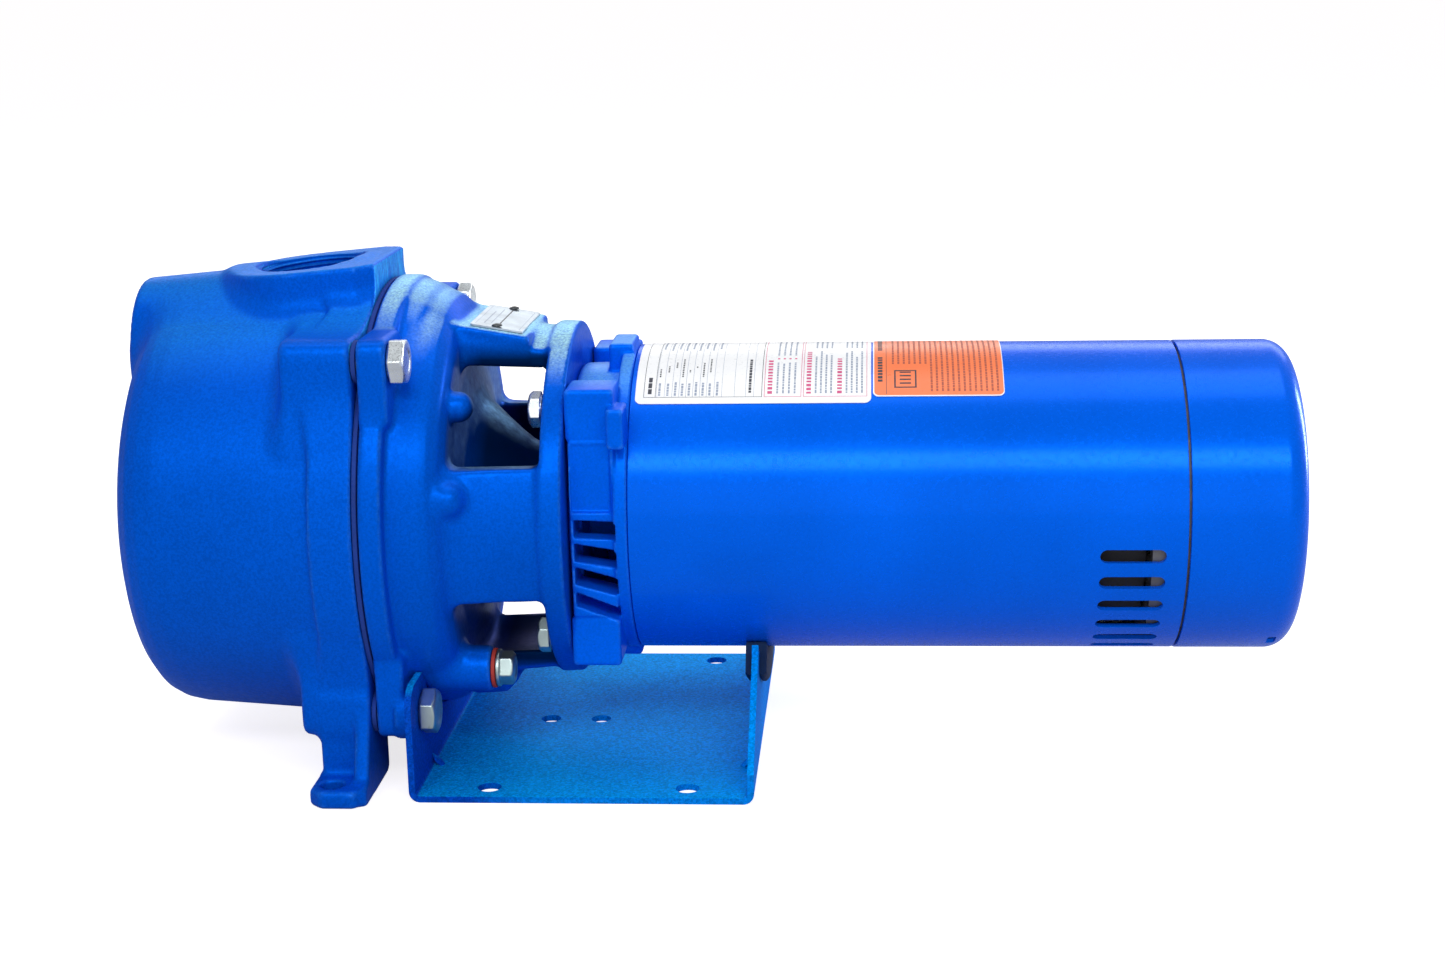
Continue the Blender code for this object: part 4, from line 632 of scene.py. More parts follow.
def seen_from(field, y=lambda v: v, z=lambda v: v):
    """The field read at other heights or sides."""
    return lambda p: field(np.stack([p[:, 0], y(p[:, 1]), z(p[:, 2])], 1))


def mirrored(field):
    """The same solid on both sides of the middle plane: it is written for the near side, Y < 0."""
    return seen_from(field, y=lambda v: -np.abs(v))


def top_and_bottom(field):
    return seen_from(field, z=np.abs)


def four_corners(field):
    """A solid written for the near top corner, repeated at the four corners."""
    return seen_from(field, y=lambda v: -np.abs(v), z=np.abs)


def bolt_holes(x0, x1, r, out):
    return four_corners(rod(x0, x1, r, -out, out))


def casing_field():
    tank = turned([(-213.2, 0), (-212.8, 40), (-211.2, 66), (-208.6, 80.5), (-205.5, 88), (-201, 93.4),
                   (-195.5, 96.2), (-188, 97.7), (-108, 103.2), (FACE, 103.2), (FACE, 0)], radius=4.0)
    flange = turned([(-116.5, 0), (-116.5, 105.6), (FACE, 105.6), (FACE, 0)], radius=1.0)
    ears = four_corners(slab(soften([(-40, 38), (-40, 90.4), (-89.8, 90.4), (-89.8, 38)], 8.5), -128.8, FACE,
                             "X", 3.0))
    boss = turned([(-214, 0), (-214, 31), (-106, 40.3), (-106, 0)], z=SUCTION_Z, radius=3.0)
    plan = arc(PORT_X, 0, 37.3, 90, 270, 24) + [(-105.5, -37.3), (FACE, -31), (FACE, 31), (-105.5, 37.3)]
    top = lambda p: PORT_Z + SLOPE * (p[:, 0] - PORT_X)
    tower = slab(plan, 56.0, top, "Z", 1.6)
    root = mirrored(block((-120.8, FACE), (-89.8, -58), (-115.6, -70), 2.5))
    web = mirrored(slab([(-60, -70), (-89.8, -70), (-94.8, -89), (-100.5, -105), (-106.8, -110.5),
                         (-106.8, -115.6), (-60, -115.6)], -104, FACE, "X", 1.6, 5.0))
    toe = mirrored(slab([(FACE, -62), (FACE, -106), (-101.8, -111.6), (-117, -111.6), (-122.6, -106.5),
                         (-122.6, -62)], -115.6, -107.2, "Z", 2.4, 3.0))
    right = turned([(-160, 0), (-160, 84), (-152, 88), (-90, 91), (-90, 0)], radius=3.0)
    left = turned([(-206, 0), (-205, 55), (-201, 76), (-195, 85), (-166, 87), (-166, 0)], radius=4.0)
    pocket = rod(-201.5, -163, 26, z=SUCTION_Z)
    mouth = turned([(-225, 0), (-225, 25.1), (-214, 25.1), (-212.2, 23.5), (-200, 23.5), (-200, 0)],
                   z=SUCTION_Z)
    discharge = tilted(turned([(9, 0), (9, 25.1), (0, 25.1), (-1.8, 23.5), (-46, 23.5), (-46, 0)]))
    bolts = bolt_holes(-126, -80, 6.65, CASING_BOLT_YZ)
    anchor = mirrored(lambda p: np.maximum(np.hypot(p[:, 0] + 113.2, p[:, 1] + 101.5) - 5.5, p[:, 2] + 103))
    return build(
        tank, ("+", flange, 1.2), ("+", boss, 9.0), ("+", ears, 9.0), ("+", tower, 7.0),
        ("+", root, 5.0), ("+", web, 2.5), ("+", toe, 2.5),
        ("-", right, 1.0), ("-", left, 2.0), ("-", rod(-170, -150, 20), 1.0), ("-", pocket, 1.0),
        ("-", mouth, 0.8), ("-", discharge, 0.8), ("-", bolts, 0.8), ("-", lambda p: FACE - p[:, 0], 0.6),
        ("-", anchor, 0.8))


# ------------------------------------------------------------------ motor adapter
ADAPTER = -94.5
EAR_BACK = -81.5
DISC0, DISC1 = -18.9, -8.9
DRAIN = (-58.0, -67.0)
DRAIN_X = -46.5


def pad_height(x):
    """Top of the sloping pad that carries the name plate."""
    return 86.6 - tan(radians(9.8)) * (x + 55.5)


def adapter_field():
    shell = turned([(-64, 75), (-64, 87.5), (-40, 82.8), (-15, 80.6), (-15, 73)])
    windows = four_corners(slab([(-30.5, 30.5), (-30.5, 120), (-120, 120), (-120, 30.5)], -70, 0, "X", 0.0,
                                4.0))
    plate = turned([(ADAPTER, 0), (ADAPTER, 105.4), (-84, 105.4), (-84, 97.8), (-70.5, 97.2), (-66, 95.4),
                    (-62.2, 91.6), (-60, 86), (-60, 66), (-57.6, 52), (-54.5, 46.6), (-46, 38.2), (-39, 31.8),
                    (-33, 27), (-26, 23.8), (-19.8, 22.6), (-19.8, 0)],
                   radius=2.2)
    disc = turned([(DISC0, 57.45), (DISC0, 83), (DISC1, 83), (DISC1, 57.45)], radius=1.5)
    ears = four_corners(slab(soften([(-54, 52), (-54, 90.6), (-90, 90.6), (-90, 52)], 7.0), ADAPTER, EAR_BACK,
                             "X", 1.8))
    ear_pads = mirrored(rod(-86, -79.3, 12.6, -80, -80))
    name_pad = slab([(-64, -31), (-28.3, -31), (-28.3, 31), (-64, 31)], 70, lambda p: pad_height(p[:, 0]),
                    "Z", 1.8, 2.0)
    low_pad = slab([(-62, -90.5), (-46, -89.5), (-39, -82), (-62, -74)], -28, 28, "Y", 2.0, 2.0)
    boss = rod(-74, DRAIN_X, 10.4, *DRAIN)
    brow = turned([(-92, 0), (-92, 104.8), (-84, 104.2), (-76, 101.2), (-68, 96.2), (-62, 90), (-62, 0)])
    fading = lambda p: brow(p) + 8.5 * np.clip((np.arctan2(np.abs(p[:, 1]), p[:, 2]) - 0.28) / 0.55, 0, 1)
    field = build(shell, ("-", windows, 1.6), ("+", plate, 5.0), ("+", fading, 2.0), ("+", disc, 4.0),
                  ("+", ears, 3.5), ("+", ear_pads, 1.5), ("+", name_pad, 2.5), ("+", low_pad, 3.0),
                  ("+", boss, 5.0))
    bumps = []
    for side in (-1, 1):
        bumps.append(("+", ball(-58.5, side * 84.0, -side * 18.8, 7.8), 4.0))
        bumps.append(("+", ball(-57.0, side * 57.5, -side * 55.0, 7.0), 2.5))
    inner = turned([(-66, 0), (-66, 20), (-47, 20), (-45, 16), (-10, 16), (-10, 0)])
    seat = turned([(-100, 0), (-100, 30), (-84.3, 30), (-84.3, 19.1), (-77.7, 19.1), (-77.7, 11),
                   (-60, 11), (-60, 0)])
    cuts = [("-", inner, 1.2), ("-", seat, 0.5),
            ("-", bolt_holes(-110, -60, 6.65, CASING_BOLT_YZ), 0.6),
            ("-", bolt_holes(-30, 0, 5.05, ADAPTER_BOLT_YZ), 0.5),
            ("-", rod(-110, -30, 5.3, *DRAIN), 0.4),
            ("-", mirrored(rod(-110, -85.5, 3.3, -70, 0)), 0.3),
            ("-", lambda p: p[:, 0] - ADAPTER, 0.8)]
    return build(field, *bumps, *cuts)


# ------------------------------------------------------------------ front end bell
BELL0, BELL1 = -8.6, 18.8


def bell_field():
    outer = turned([(-11.9, 0), (-11.9, 57.1), (BELL0, 57.1), (BELL0, 61.5), (-6.5, 63), (12.6, 63.5),
                    (12.6, 72.0), (BELL1, 72.0), (BELL1, 69.2), (27, 69.2), (27, 0)], radius=1.0)
    quarter = [(38.6, 46.0), (40.6, 63.4), (64.8, 63.4), (64.8, 41.2), (66.4, 39.6), (67.4, 14.0)]
    outline = quarter + [(a, -b) for a, b in quarter[::-1]]
    outline += [(-a, -b) for a, b in quarter] + [(-a, b) for a, b in quarter[::-1]]
    sides = slab(outline, BELL0 + 1.4, 13.3, "X", 1.2, 1.5)
    blocks = four_corners(block((BELL0 + 0.2, 13.4), (-65.0, -40.8), (40.8, 63.5), 1.6))
    lugs = top_and_bottom(block((6.0, 17.6), (-14, 14), (58, 75.3), 2.0))
    rim_lug = mirrored(block((11.0, 18.6), (-73.5, -55), (38.5, 56.5), 1.5))
    inside = turned([(-30, 0), (-30, 11), (1.7, 11), (1.7, 20.3), (15, 20.3), (15, 24), (-4.5, 26),
                     (-4.5, 56.5), (40, 58.5), (40, 0)], radius=0.8)
    steps = [("+", sides, 1.5), ("+", blocks, 1.2), ("+", lugs, 1.5), ("+", rim_lug, 1.2), ("-", inside, 0.4)]
    for number in range(4):
        middle = 0.6 - 12.0 * number
        tilt = 0.5 + 1.1 * number
        half = 4.1 if number < 3 else 3.3
        hole = [(-5.8, middle - half + tilt), (13.6, middle - half - tilt), (13.6, middle + half - tilt),
                (-5.8, middle + half + tilt)]
        steps.append(("-", mirrored(slab(hole, -90, -48, "Y", 0.0)), 0.5))
    panel = mirrored(block((-6.6, 11.4), (-90, -65.2), (8.5, 39.5), 1.0))
    steps.append(("-", panel, 0.5))
    steps.append(("-", bolt_holes(-15, 12.3, 5.05, ADAPTER_BOLT_YZ), 0.3))
    steps.append(("-", top_and_bottom(rod(8, 45, 2.8, 0, 64.8)), 0.2))
    return build(outer, *steps)


cast("casing", casing_field(), *place("pump_casing"), CAST, "pump_casing")
cast("adapter", adapter_field(), *place("motor_adapter"), YOKE, "motor_adapter")
cast("end_bell", bell_field(), *place("front_end_bell"), BELL, "front_end_bell", 0.65 * CELL)


# ------------------------------------------------------------------ fasteners
def hexagon(y, z, flats, twist):
    """Field of an endless hexagonal bar along X."""
    def field(p):
        dy, dz = p[:, 1] - y, p[:, 2] - z
        best = np.full(len(p), -1e9)
        for k in range(6):
            a = radians(60 * k + 30 + twist)
            best = np.maximum(best, dy * cos(a) + dz * sin(a) - flats / 2)
        return best
    return field


def hex_head(x0, x1, y, z, flats, twist):
    """Chamfered hexagon head between x0 and x1: its domed end is at x1, its washer face at x0."""
    corner = flats / sqrt(3)
    s = 1 if x1 > x0 else -1
    cone = turned([(x0, 0), (x0, flats * 0.475), (x0 + 0.7 * s, flats * 0.475), (x0 + 0.7 * s, corner + 1),
                   (x1 - 1.5 * s, corner + 0.4), (x1, flats * 0.46), (x1, 0)], y, z)
    hexa = hexagon(y, z, flats, twist)
    dish = turned([(x1 - 0.35 * s, 0), (x1 - 0.35 * s, flats * 0.3), (x1 + 3 * s, flats * 0.36),
                   (x1 + 3 * s, 0)], y, z)
    return lambda p: meet(meet(hexa(p), cone(p), 0.35), -dish(p), 0.2)


def bolt(name, x0, x1, tip, y, z, shank, flats, twist, mat, cell=0.55):
    """Hex bolt: head from x0 to x1, threaded shank from x0 to tip."""
    head = hex_head(x0, x1, y, z, flats, twist)
    s = 1 if x1 > x0 else -1
    stem = turned([(tip, 0), (tip, shank - 1.1), (tip + 1.2 * s, shank - 0.1), (x0 + s, shank - 0.1),
                   (x0 + s, 0)], y, z)
    low = (min(tip, x0, x1), y - flats * 0.6, z - flats * 0.6)
    high = (max(tip, x0, x1), y + flats * 0.6, z + flats * 0.6)
    cast(name, build(head, ("+", stem, 0.4)), low, high, mat, name, cell * (1))


CORNERS = ((1, -1, 1), (2, -1, -1), (3, 1, 1), (4, 1, -1))     # number, side, up or down
TWISTS = {1: -8, 2: 30, 3: 17, 4: -4}                          # how far each casing bolt is turned
for number, side, up in CORNERS:
    mat = ZINC if up > 0 else DULL_ZINC
    seat = EAR_BACK if up > 0 else -76.0
    bolt(f"casing_bolt_{number}", seat + 0.3, seat + 7.9, -124, side * CASING_BOLT_YZ, up * CASING_BOLT_YZ,
         6.35, 18.6, TWISTS[number], mat)
    bolt(f"adapter_bolt_{number}", DISC0 - 0.3, DISC0 - 6.5, 11.8, side * ADAPTER_BOLT_YZ,
         up * ADAPTER_BOLT_YZ, 4.75, 14.3, 11 * number + 4, mat, 0.45)

# ------------------------------------------------------------------ drain plug
def band(x0, x1, r0, r1, radius, steps=4):
    """Profile of a plain ring with softened corners."""
    return soften([(x0, r0), (x1, r0), (x1, r1), (x0, r1)], radius, steps)


lathe("drain_washer", band(DRAIN_X + 0.3, DRAIN_X + 2, 5.3, 9.1, 0.4), FIBRE, 48, *DRAIN,
      replaces="drain_washer")
seat = DRAIN_X + 2.3
plug = build(hex_head(seat + 1.0, seat + 8.0, *DRAIN, 13.6, 10), ("+", turned(
    [(-88, 0), (-88, 4.2), (-87, 5), (seat, 5), (seat, 8.6), (seat + 1.7, 8.6), (seat + 1.7, 0)], *DRAIN), 0.3))
cast("drain_plug", plug, (-88, DRAIN[0] - 9, DRAIN[1] - 9), (seat + 8, DRAIN[0] + 9, DRAIN[1] + 9), DULL_ZINC,
     "drain_plug", 0.55)

# ------------------------------------------------------------------ port threads
def thread(name, transform, length, mat):
    """Female pipe thread: a sleeve whose bore carries a helix. It runs from the port's face inward."""
    root, crest, pitch, sides = 23.4, 22.0, 2.2, 96
    rows = int(length / pitch * 8)
    grid = []
    for i in range(rows + 1):
        depth = -length * i / rows
        ring = []
        for k in range(sides):
            a = 2 * pi * k / sides
            t = (-depth / pitch - k / sides) % 1.0
            r = crest + (root - crest) * min(1.0, 1.25 * abs(2 * t - 1))
            r += 0.9 * max(0.0, 1 + depth / 1.6) + 0.02 * depth
            ring.append(transform(depth - 0.15, min(r, root) * cos(a), min(r, root) * sin(a)))
        grid.append(ring)
    bm = bmesh.new()
    rings = [[bm.verts.new(Vector(q) * MM) for q in ring] for ring in grid]
    skin(bm, rings)
    mesh = bpy.data.meshes.new(name)
    bmesh.ops.recalc_face_normals(bm, faces=bm.faces)
    bmesh.ops.reverse_faces(bm, faces=bm.faces)
    bm.to_mesh(mesh)
    bm.free()
    mesh.shade_smooth()
    return register(bpy.data.objects.new(name, mesh), mat, slot="cast_paint")


def discharge_place(depth, a, b):
    c, s = cos(atan(SLOPE)), sin(atan(SLOPE))
    return PORT_X + a * c - depth * s, b, PORT_Z + a * s + depth * c + AXIS


thread("discharge_thread", discharge_place, 24, CAST)
thread("suction_thread", lambda d, a, b: (-214 - d, a, b + SUCTION_Z + AXIS), 12, CAST)

# ------------------------------------------------------------------ motor shell and cap
R = 71.5
shell = lathe("motor_body", band(19.1, 265.0, 69.5, R, 0.55, 3), ENAMEL, 160, replaces="motor_shell")
slots = []
for side in (-1, 1):
    for angle in (-8.9, -19.6, -30.3, -41.0, -51.7, -62.4):
        half = 3.2
        bm = prism(arc(255.8 - half, 0, half, -90, 90, 10) + arc(226.9 + half, 0, half, 90, 270, 10), 62, 78)
        turn = Matrix.Translation((0, 0, AXIS * MM)) @ Matrix.Rotation(side * radians(angle - 90), 4, "X") @ \
            Matrix.Translation((0, 0, -AXIS * MM))
        bmesh.ops.transform(bm, matrix=turn, verts=bm.verts)
        slots.append(bm)
carve(shell, slots, 0.3)

corner, wall, end, start = 11.0, 1.6, 318.0, 266.1
cap_out = [(start, R - 0.7), (start + 0.2, R - 0.1), (start + 0.8, R + 0.1)]
cap_out += arc(end - corner, R + 0.1 - corner, corner, 90, 0, 14)[:-1]
cap_out += [(end, R - corner - 2), (end - 0.3, 30), (end - 0.4, 0)]
cap_in = [(end - 0.4 - wall, 0), (end - wall, R - corner - 2)]
cap_in += arc(end - corner, R - corner, corner - wall, 0, 90, 8) + [(start, R - wall)]
cap = lathe("end_cover", cap_out + cap_in, ENAMEL, 160, replaces="end_cap")
tools = []
for side in (-1, 1):
    tools.append(prism(band(305.5, 309.5, side * 37, side * 44, 1.0), -72, -45))
    tools.append(prism(arc(side * 34, 0, 2.7, 0, 360, 24)[:-1], 310, 325, "X"))
carve(cap, tools, 0.25)
for number, y in ((1, -34), (2, 34)):
    head = build(hex_head(end + 0.3, end + 3.9, y, 0, 8.0, 20 * number), ("+", turned(
        [(end + 0.25, 0), (end + 0.25, 5.6), (end + 1.1, 5.4), (end + 1.1, 0)], y, 0), 0.2),
        ("+", rod(274, end + 1, 2.4, y, 0), 0.1))
    cast(f"cap_screw_{number}", head, (274, y - 6, -6), (end + 4, y + 6, 6), ZINC, f"cap_screw_{number}",
         0.45)

lathe("air_baffle", soften([(223, 53.5), (249, 55.5), (249, 57.2), (223, 55.2)], 0.5), PLASTIC, 96,
      slot="moulded_plastic")

# ------------------------------------------------------------------ base
LEFT, RIGHT, HALF_Y = -79.0, 75.0, 101.8
GAUGE, BEND = 3.0, 5.0
GROUND_Z = -AXIS
FLANGE_TOP, CORNER_TOP = 52 + GROUND_Z, 41 + GROUND_Z
WALL_TOP, CLEAR, WIDE = 62 + GROUND_Z, 70 + GROUND_Z, 107      # the cutting tools reach past the sheet
bends = [(x, BEND + GROUND_Z) for x in (LEFT + BEND, RIGHT - BEND)]
outside = [(LEFT, WALL_TOP)] + arc(*bends[0], BEND, 180, 270, 8) + arc(*bends[1], BEND, 270, 360, 8)
outside += [(RIGHT, WALL_TOP), (RIGHT - GAUGE, WALL_TOP)]
outside += arc(*bends[1], BEND - GAUGE, 0, -90, 6) + arc(*bends[0], BEND - GAUGE, 270, 180, 6)
outside += [(LEFT + GAUGE, WALL_TOP)]
base = from_bmesh("base", prism(outside, -HALF_Y, HALF_Y, "Y"), SHEET, replaces="base_bracket")
tools = [prism(arc(0, 0, 98.2, 0, 360, 128)[:-1], LEFT - 10, LEFT + 15, "X"),
         prism(arc(0, 0, 77.0, 0, 360, 128)[:-1], RIGHT - 15, RIGHT + 10, "X")]
for side in (-1, 1):
    slant = [(WIDE, 14 + GROUND_Z), (101.6, 14 + GROUND_Z), (52, FLANGE_TOP), (50, 56 + GROUND_Z),
             (50, CLEAR), (WIDE, CLEAR)]
    shoulder = [(WIDE, CLEAR), (WIDE, CORNER_TOP), (HALF_Y + 0.1, CORNER_TOP)]
    shoulder += arc(HALF_Y - 11, CORNER_TOP, 11, 10, 90, 8) + [(66, FLANGE_TOP), (66, CLEAR)]
    tools.append(prism([(side * y, z) for y, z in slant], RIGHT - 12, RIGHT + 5, "X"))
    tools.append(prism([(side * y, z) for y, z in shoulder], LEFT - 5, LEFT + 12, "X"))
    tools.append(prism(arc(side * CASING_BOLT_YZ, -CASING_BOLT_YZ, 6.65, 0, 360, 32)[:-1], LEFT - 5, LEFT + 10,
                       "X"))
holes = [(sx * 44.6, sy * 90.15, 5.3) for sx in (-1, 1) for sy in (-1, 1)] + [(-29.9, 0, 4.8), (-5.3, 0, 4.8)]
for x, y, r in holes:
    tools.append(prism(arc(x, y, r, 0, 360, 36)[:-1], GROUND_Z - 5, GROUND_Z + 10))
carve(base, tools, 0.45)


def dart(bm, x, side, lean):
    """Small pressed gusset across a bend: rows along it, each a half ring."""
    rows = []
    for i in range(9):
        t = i / 8
        bulge = sin(pi * t)
        row = []
        for a in (pi * k / 6 for k in range(7)):
            lift = 0.7 * (1.7 * sin(a) * bulge - 0.5)
            out = x + lean * (6.6 * t - 0.3 + lift)
            across = side * 62 - (2.6 * bulge + 0.01) * cos(a)
            up = 2.7 + 6.6 * (1 - t) - 1.6 * bulge + lift
            row.append(bm.verts.new(Vector((out, across, up)) * MM))
        rows.append(row)
    skin(bm, rows, around=False)
    return bm


for side, where in ((-1, "near"), (1, "far")):
    for name, x, lean in (("left", LEFT + GAUGE, 1), ("right", RIGHT - GAUGE, -1)):
        from_bmesh(f"base_dart_{name}_{where}", dart(bmesh.new(), x, side, lean), SHEET, 80,
                   slot="sheet_paint")

# ------------------------------------------------------------------ rubber pad on the saddle
pad_x0, pad_x1, slot0, slot1 = 68.5, 78.5, 71.7, 75.3
section = [(pad_x0, 71.8), (pad_x1, 71.8), (pad_x1, 86.5), (pad_x1 - 1.2, 88), (slot1, 88), (slot1, 76.7),
           (slot0, 76.7), (slot0, 88), (pad_x0 + 1.2, 88), (pad_x0, 86.5)]
section = soften(section, 0.9, 3)
centre = sum(x for x, _ in section) / len(section)
bm = bmesh.new()
rings = []
for i in range(37):
    a = -pi / 2 - radians(33) + radians(66) * i / 36
    shrink = 0.042 if i in (0, 36) else 0.0
    ring = [(x + (centre - x) * shrink, r + (80.0 - r) * shrink) for x, r in section]
    rings.append([bm.verts.new(Vector((x, r * cos(a), r * sin(a) + AXIS)) * MM) for x, r in ring])
from_bmesh("support_pad", capped(bm, rings), RUBBER, 50, replaces="motor_support_pad")

# ------------------------------------------------------------------ gasket, shaft, slinger, check valve
PAPER_X = FACE + 0.3, ADAPTER - 0.3
lathe("gasket", band(*PAPER_X, 91.5, 104.6, 0.2), PAPER, 160, replaces="casing_gasket")
for number, side, up in CORNERS:
    lathe(f"gasket_lobe_{number}", band(*PAPER_X, 6.8, 9.4, 0.2), PAPER, 40, side * CASING_BOLT_YZ,
          up * CASING_BOLT_YZ, slot="gasket_paper")
shaft = [(-121, 0), (-121, 6.5), (-119.5, 7.7), (-100, 7.7), (-99.7, 7.9), (-3, 7.9), (-3, 8.2), (18, 8.2),
         (18, 9.5), (50, 9.5), (50, 12), (230, 12), (230, 10), (254, 10), (254, 8.2), (278, 8.2), (279, 7.2),
         (279, 0)]
lathe("shaft", soften(shaft, 0.3, 2, keep=(0, 17)), STEEL, 64, body="rotor", replaces="motor_shaft")
sling = soften([(-56, 8.2), (-51, 8.2), (-51, 12), (-53, 18), (-55, 18), (-56, 12)], 0.6, 3)
lathe("slinger", sling, RUBBER, 96, body="rotor", replaces="water_slinger")
lathe("valve_seat", band(-201.2, -197.5, 17.5, 25.7, 0.6, 3), BRASS, 96, z=SUCTION_Z,
      replaces="check_valve_seat")
disc_flap = turned([(-197.2, 0), (-197.2, 20.5), (-194.2, 20.5), (-194.2, 11), (-181, 11), (-181, 0)],
                   z=SUCTION_Z, radius=0.9)


def off_pin(p):
    """Distance from the flap's pin."""
    return np.hypot(p[:, 0] + 192.4, p[:, 2] - 96.4)


flap = build(disc_flap, ("+", block((-196.8, -192), (-5, 5), (83, 97.4), 0.8), 1.0),
             ("+", lambda p: meet(off_pin(p) - 2.5, np.abs(p[:, 1]) - 5, 0.5), 0.8),
             ("-", lambda p: off_pin(p) - 1.6, 0.2))
cast("valve_flap", flap, *place("check_valve_flap"), RUBBER, "check_valve_flap", 0.7, "flap")


# ------------------------------------------------------------------ labels and name plate
SKIN_R = 71.65      # just over the shell's paint


def wrap(x, s, lift, start):
    """A point on the shell: x along it, s in mm of arc over the label's lower edge."""
    a = radians(start) + s / SKIN_R
    return Vector((x, -(SKIN_R + lift) * cos(a), AXIS + (SKIN_R + lift) * sin(a))) * MM


def film(name, x0, x1, start, length, lift, radius, mat, thickness=0.22, **kw):
    """Curved sheet with rounded corners."""
    bm = bmesh.new()
    rows = []
    rounding = [radius * (1 - cos(pi * k / 16)) for k in range(9)]
    stations = sorted(set(rounding + [length - s for s in rounding] + [length * k / 60 for k in range(61)]))
    for s in stations:
        edge = min(s, length - s)
        inset = radius - sqrt(max(0.0, radius ** 2 - (radius - edge) ** 2)) if edge < radius else 0.0
        around = ((x0 + inset, thickness), (x1 - inset, thickness), (x1 - inset, 0.0), (x0 + inset, 0.0))
        rows.append([bm.verts.new(wrap(x, s, lift + h, start)) for x, h in around])
    return from_bmesh(name, capped(bm, rows), mat, 40, **kw)


def print_bars(name, bars, start, lift, mat, slot):
    """Flat printed marks: each bar is (x0, x1, s0, s1) on the shell."""
    bm = bmesh.new()
    for x0, x1, s0, s1 in bars:
        steps = max(1, int(abs(s1 - s0) / 2.0))
        rows = [[bm.verts.new(wrap(x, s0 + (s1 - s0) * i / steps, lift, start)) for x in (x0, x1)]
                for i in range(steps + 1)]
        skin(bm, rows, around=False)
    return from_bmesh(name, bm, mat, 60, slot=slot)


def frame_bars(x0, x1, s0, s1, w):
    return [(x0, x1, s0, s0 + w), (x0, x1, s1 - w, s1), (x0, x0 + w, s0, s1), (x1 - w, x1, s0, s1)]


def filler(rng, x, width, s0, s1, word=(1.2, 5.0), gap=0.8):
    """A line of filler marks that stands for small print, running round the shell."""
    marks, s = [], s0
    while s < s1 - word[0]:
        step = min(rng.uniform(*word), s1 - s)
        marks.append((x, x + width, s, s + step))
        s += step + gap
    return marks


rng = np.random.default_rng(7)
FINE_PRINT = (0.8, 2.2), 0.4        # lengths of the marks, and the gap between them
X0, X1, A0, LEN = 21.2, 127.0, 48.5, 79.0
film("rating_label", X0, X1, A0, LEN, 0.0, 3.0, FILM, replaces="motor_label")
black, grey, red = [], [], []
S0, S1 = 3.6, LEN - 3.6
black += frame_bars(X0 + 3.7, X0 + 57.0, S0, S1, 0.25)
black += [(X0 + 8.9, X0 + 9.1, S0, S1)]
edges = [9.3, 13.0, 16.4, 19.5, 22.6, 25.7, 28.8, 31.9, 35.3, 38.8, 44.5, 49.5, 53.2]
grey += [(X0 + e, X0 + e + 0.16, S0, S1) for e in edges]
black += filler(rng, X0 + 5.6, 1.7, S0 + 2.0, S0 + 15, (2.6, 3.4), 0.5)
for i, e in enumerate(edges[:9]):
    grey += filler(rng, X0 + e + 0.95, 1.0, S0 + 1.0, S0 + 9.5, (0.8, 1.9), 0.35)
    black += filler(rng, X0 + e + 1.0, 0.7, S0 + 13 + 3.5 * (i % 3), S0 + 19 + 3 * (i % 4), (0.6, 1.2), 0.45)
    grey += filler(rng, X0 + e + 0.95, 0.9, S0 + 40 - 2 * (i % 2), S0 + 62, (0.8, 2.4), 0.4)
black += filler(rng, X0 + 50.9, 1.2, S0 + 2.5, S0 + 27, (1.0, 2.2), 0.35)
red += frame_bars(X0 + 57.9, X0 + 74.6, S0, S1, 0.25) + frame_bars(X0 + 75.4, X0 + 104.0, S0, S1, 0.25)
for x, stop in ((59.4, 26), (76.8, 35), (90.6, 28)):
    red += filler(rng, X0 + x, 2.1, S0 + 1.8, S0 + stop, (1.0, 1.7), 0.9)
for x in (63.4, 66.0, 68.6, 71.2):
    red += [(X0 + x, X0 + x + 1.0, S0 + 27.0, S0 + 28.2)]
    grey += filler(rng, X0 + x, 0.8, S0 + 2, S0 + 24, *FINE_PRINT)
    grey += filler(rng, X0 + x, 0.8, S0 + 31, S1 - 3, *FINE_PRINT)
for x in (80.6, 82.9, 85.2, 87.5, 94.4, 96.7, 99.0, 101.3):
    grey += filler(rng, X0 + x, 0.8, S0 + 2, S0 + 33 + 4 * sin(x), *FINE_PRINT)
    grey += filler(rng, X0 + x, 0.8, S0 + 40, S1 - 3, *FINE_PRINT)
for name, marks, ink in (("black", black, INK), ("grey", grey, GREY_INK), ("red", red, RED_INK)):
    print_bars(f"rating_print_{name}", marks, A0, 0.25, ink, "white_label")

X0, X1, A0, LEN = 127.8, 186.2, 51.3, 66.0
film("notice_label", X0, X1, A0, LEN, 0.0, 2.6, FILM, replaces="warning_label")
film("notice_field", X0 + 0.6, X1 - 0.35, A0 + 0.5, LEN - 1.2, 0.12, 2.3, ORANGE, 0.14, slot="orange_label")
dark = [(X0 + 5.9, X0 + 6.1, 1.2, LEN - 1.2)]
for s0, s1 in ((9.0, 29.0), (36, 60)):
    dark += filler(rng, X0 + 2.2, 2.1, s0, s1, (1.3, 1.9), 0.7)
dark += frame_bars(X0 + 9.5, X0 + 19.5, 5.0, 17.0, 0.7)
dark += [(X0 + 12.0, X0 + 17.0, 7.5 + 2.5 * i, 8.4 + 2.5 * i) for i in range(4)]
brown = []
for i in range(20):
    x = X0 + 8.6 + 2.45 * i
    low = 22.0 if x < X0 + 24 else 2.8
    if x < X1 - 2:
        brown += filler(rng, x, 0.9, low, LEN - 3.0 - 5 * abs(sin(1.7 * i)), *FINE_PRINT)
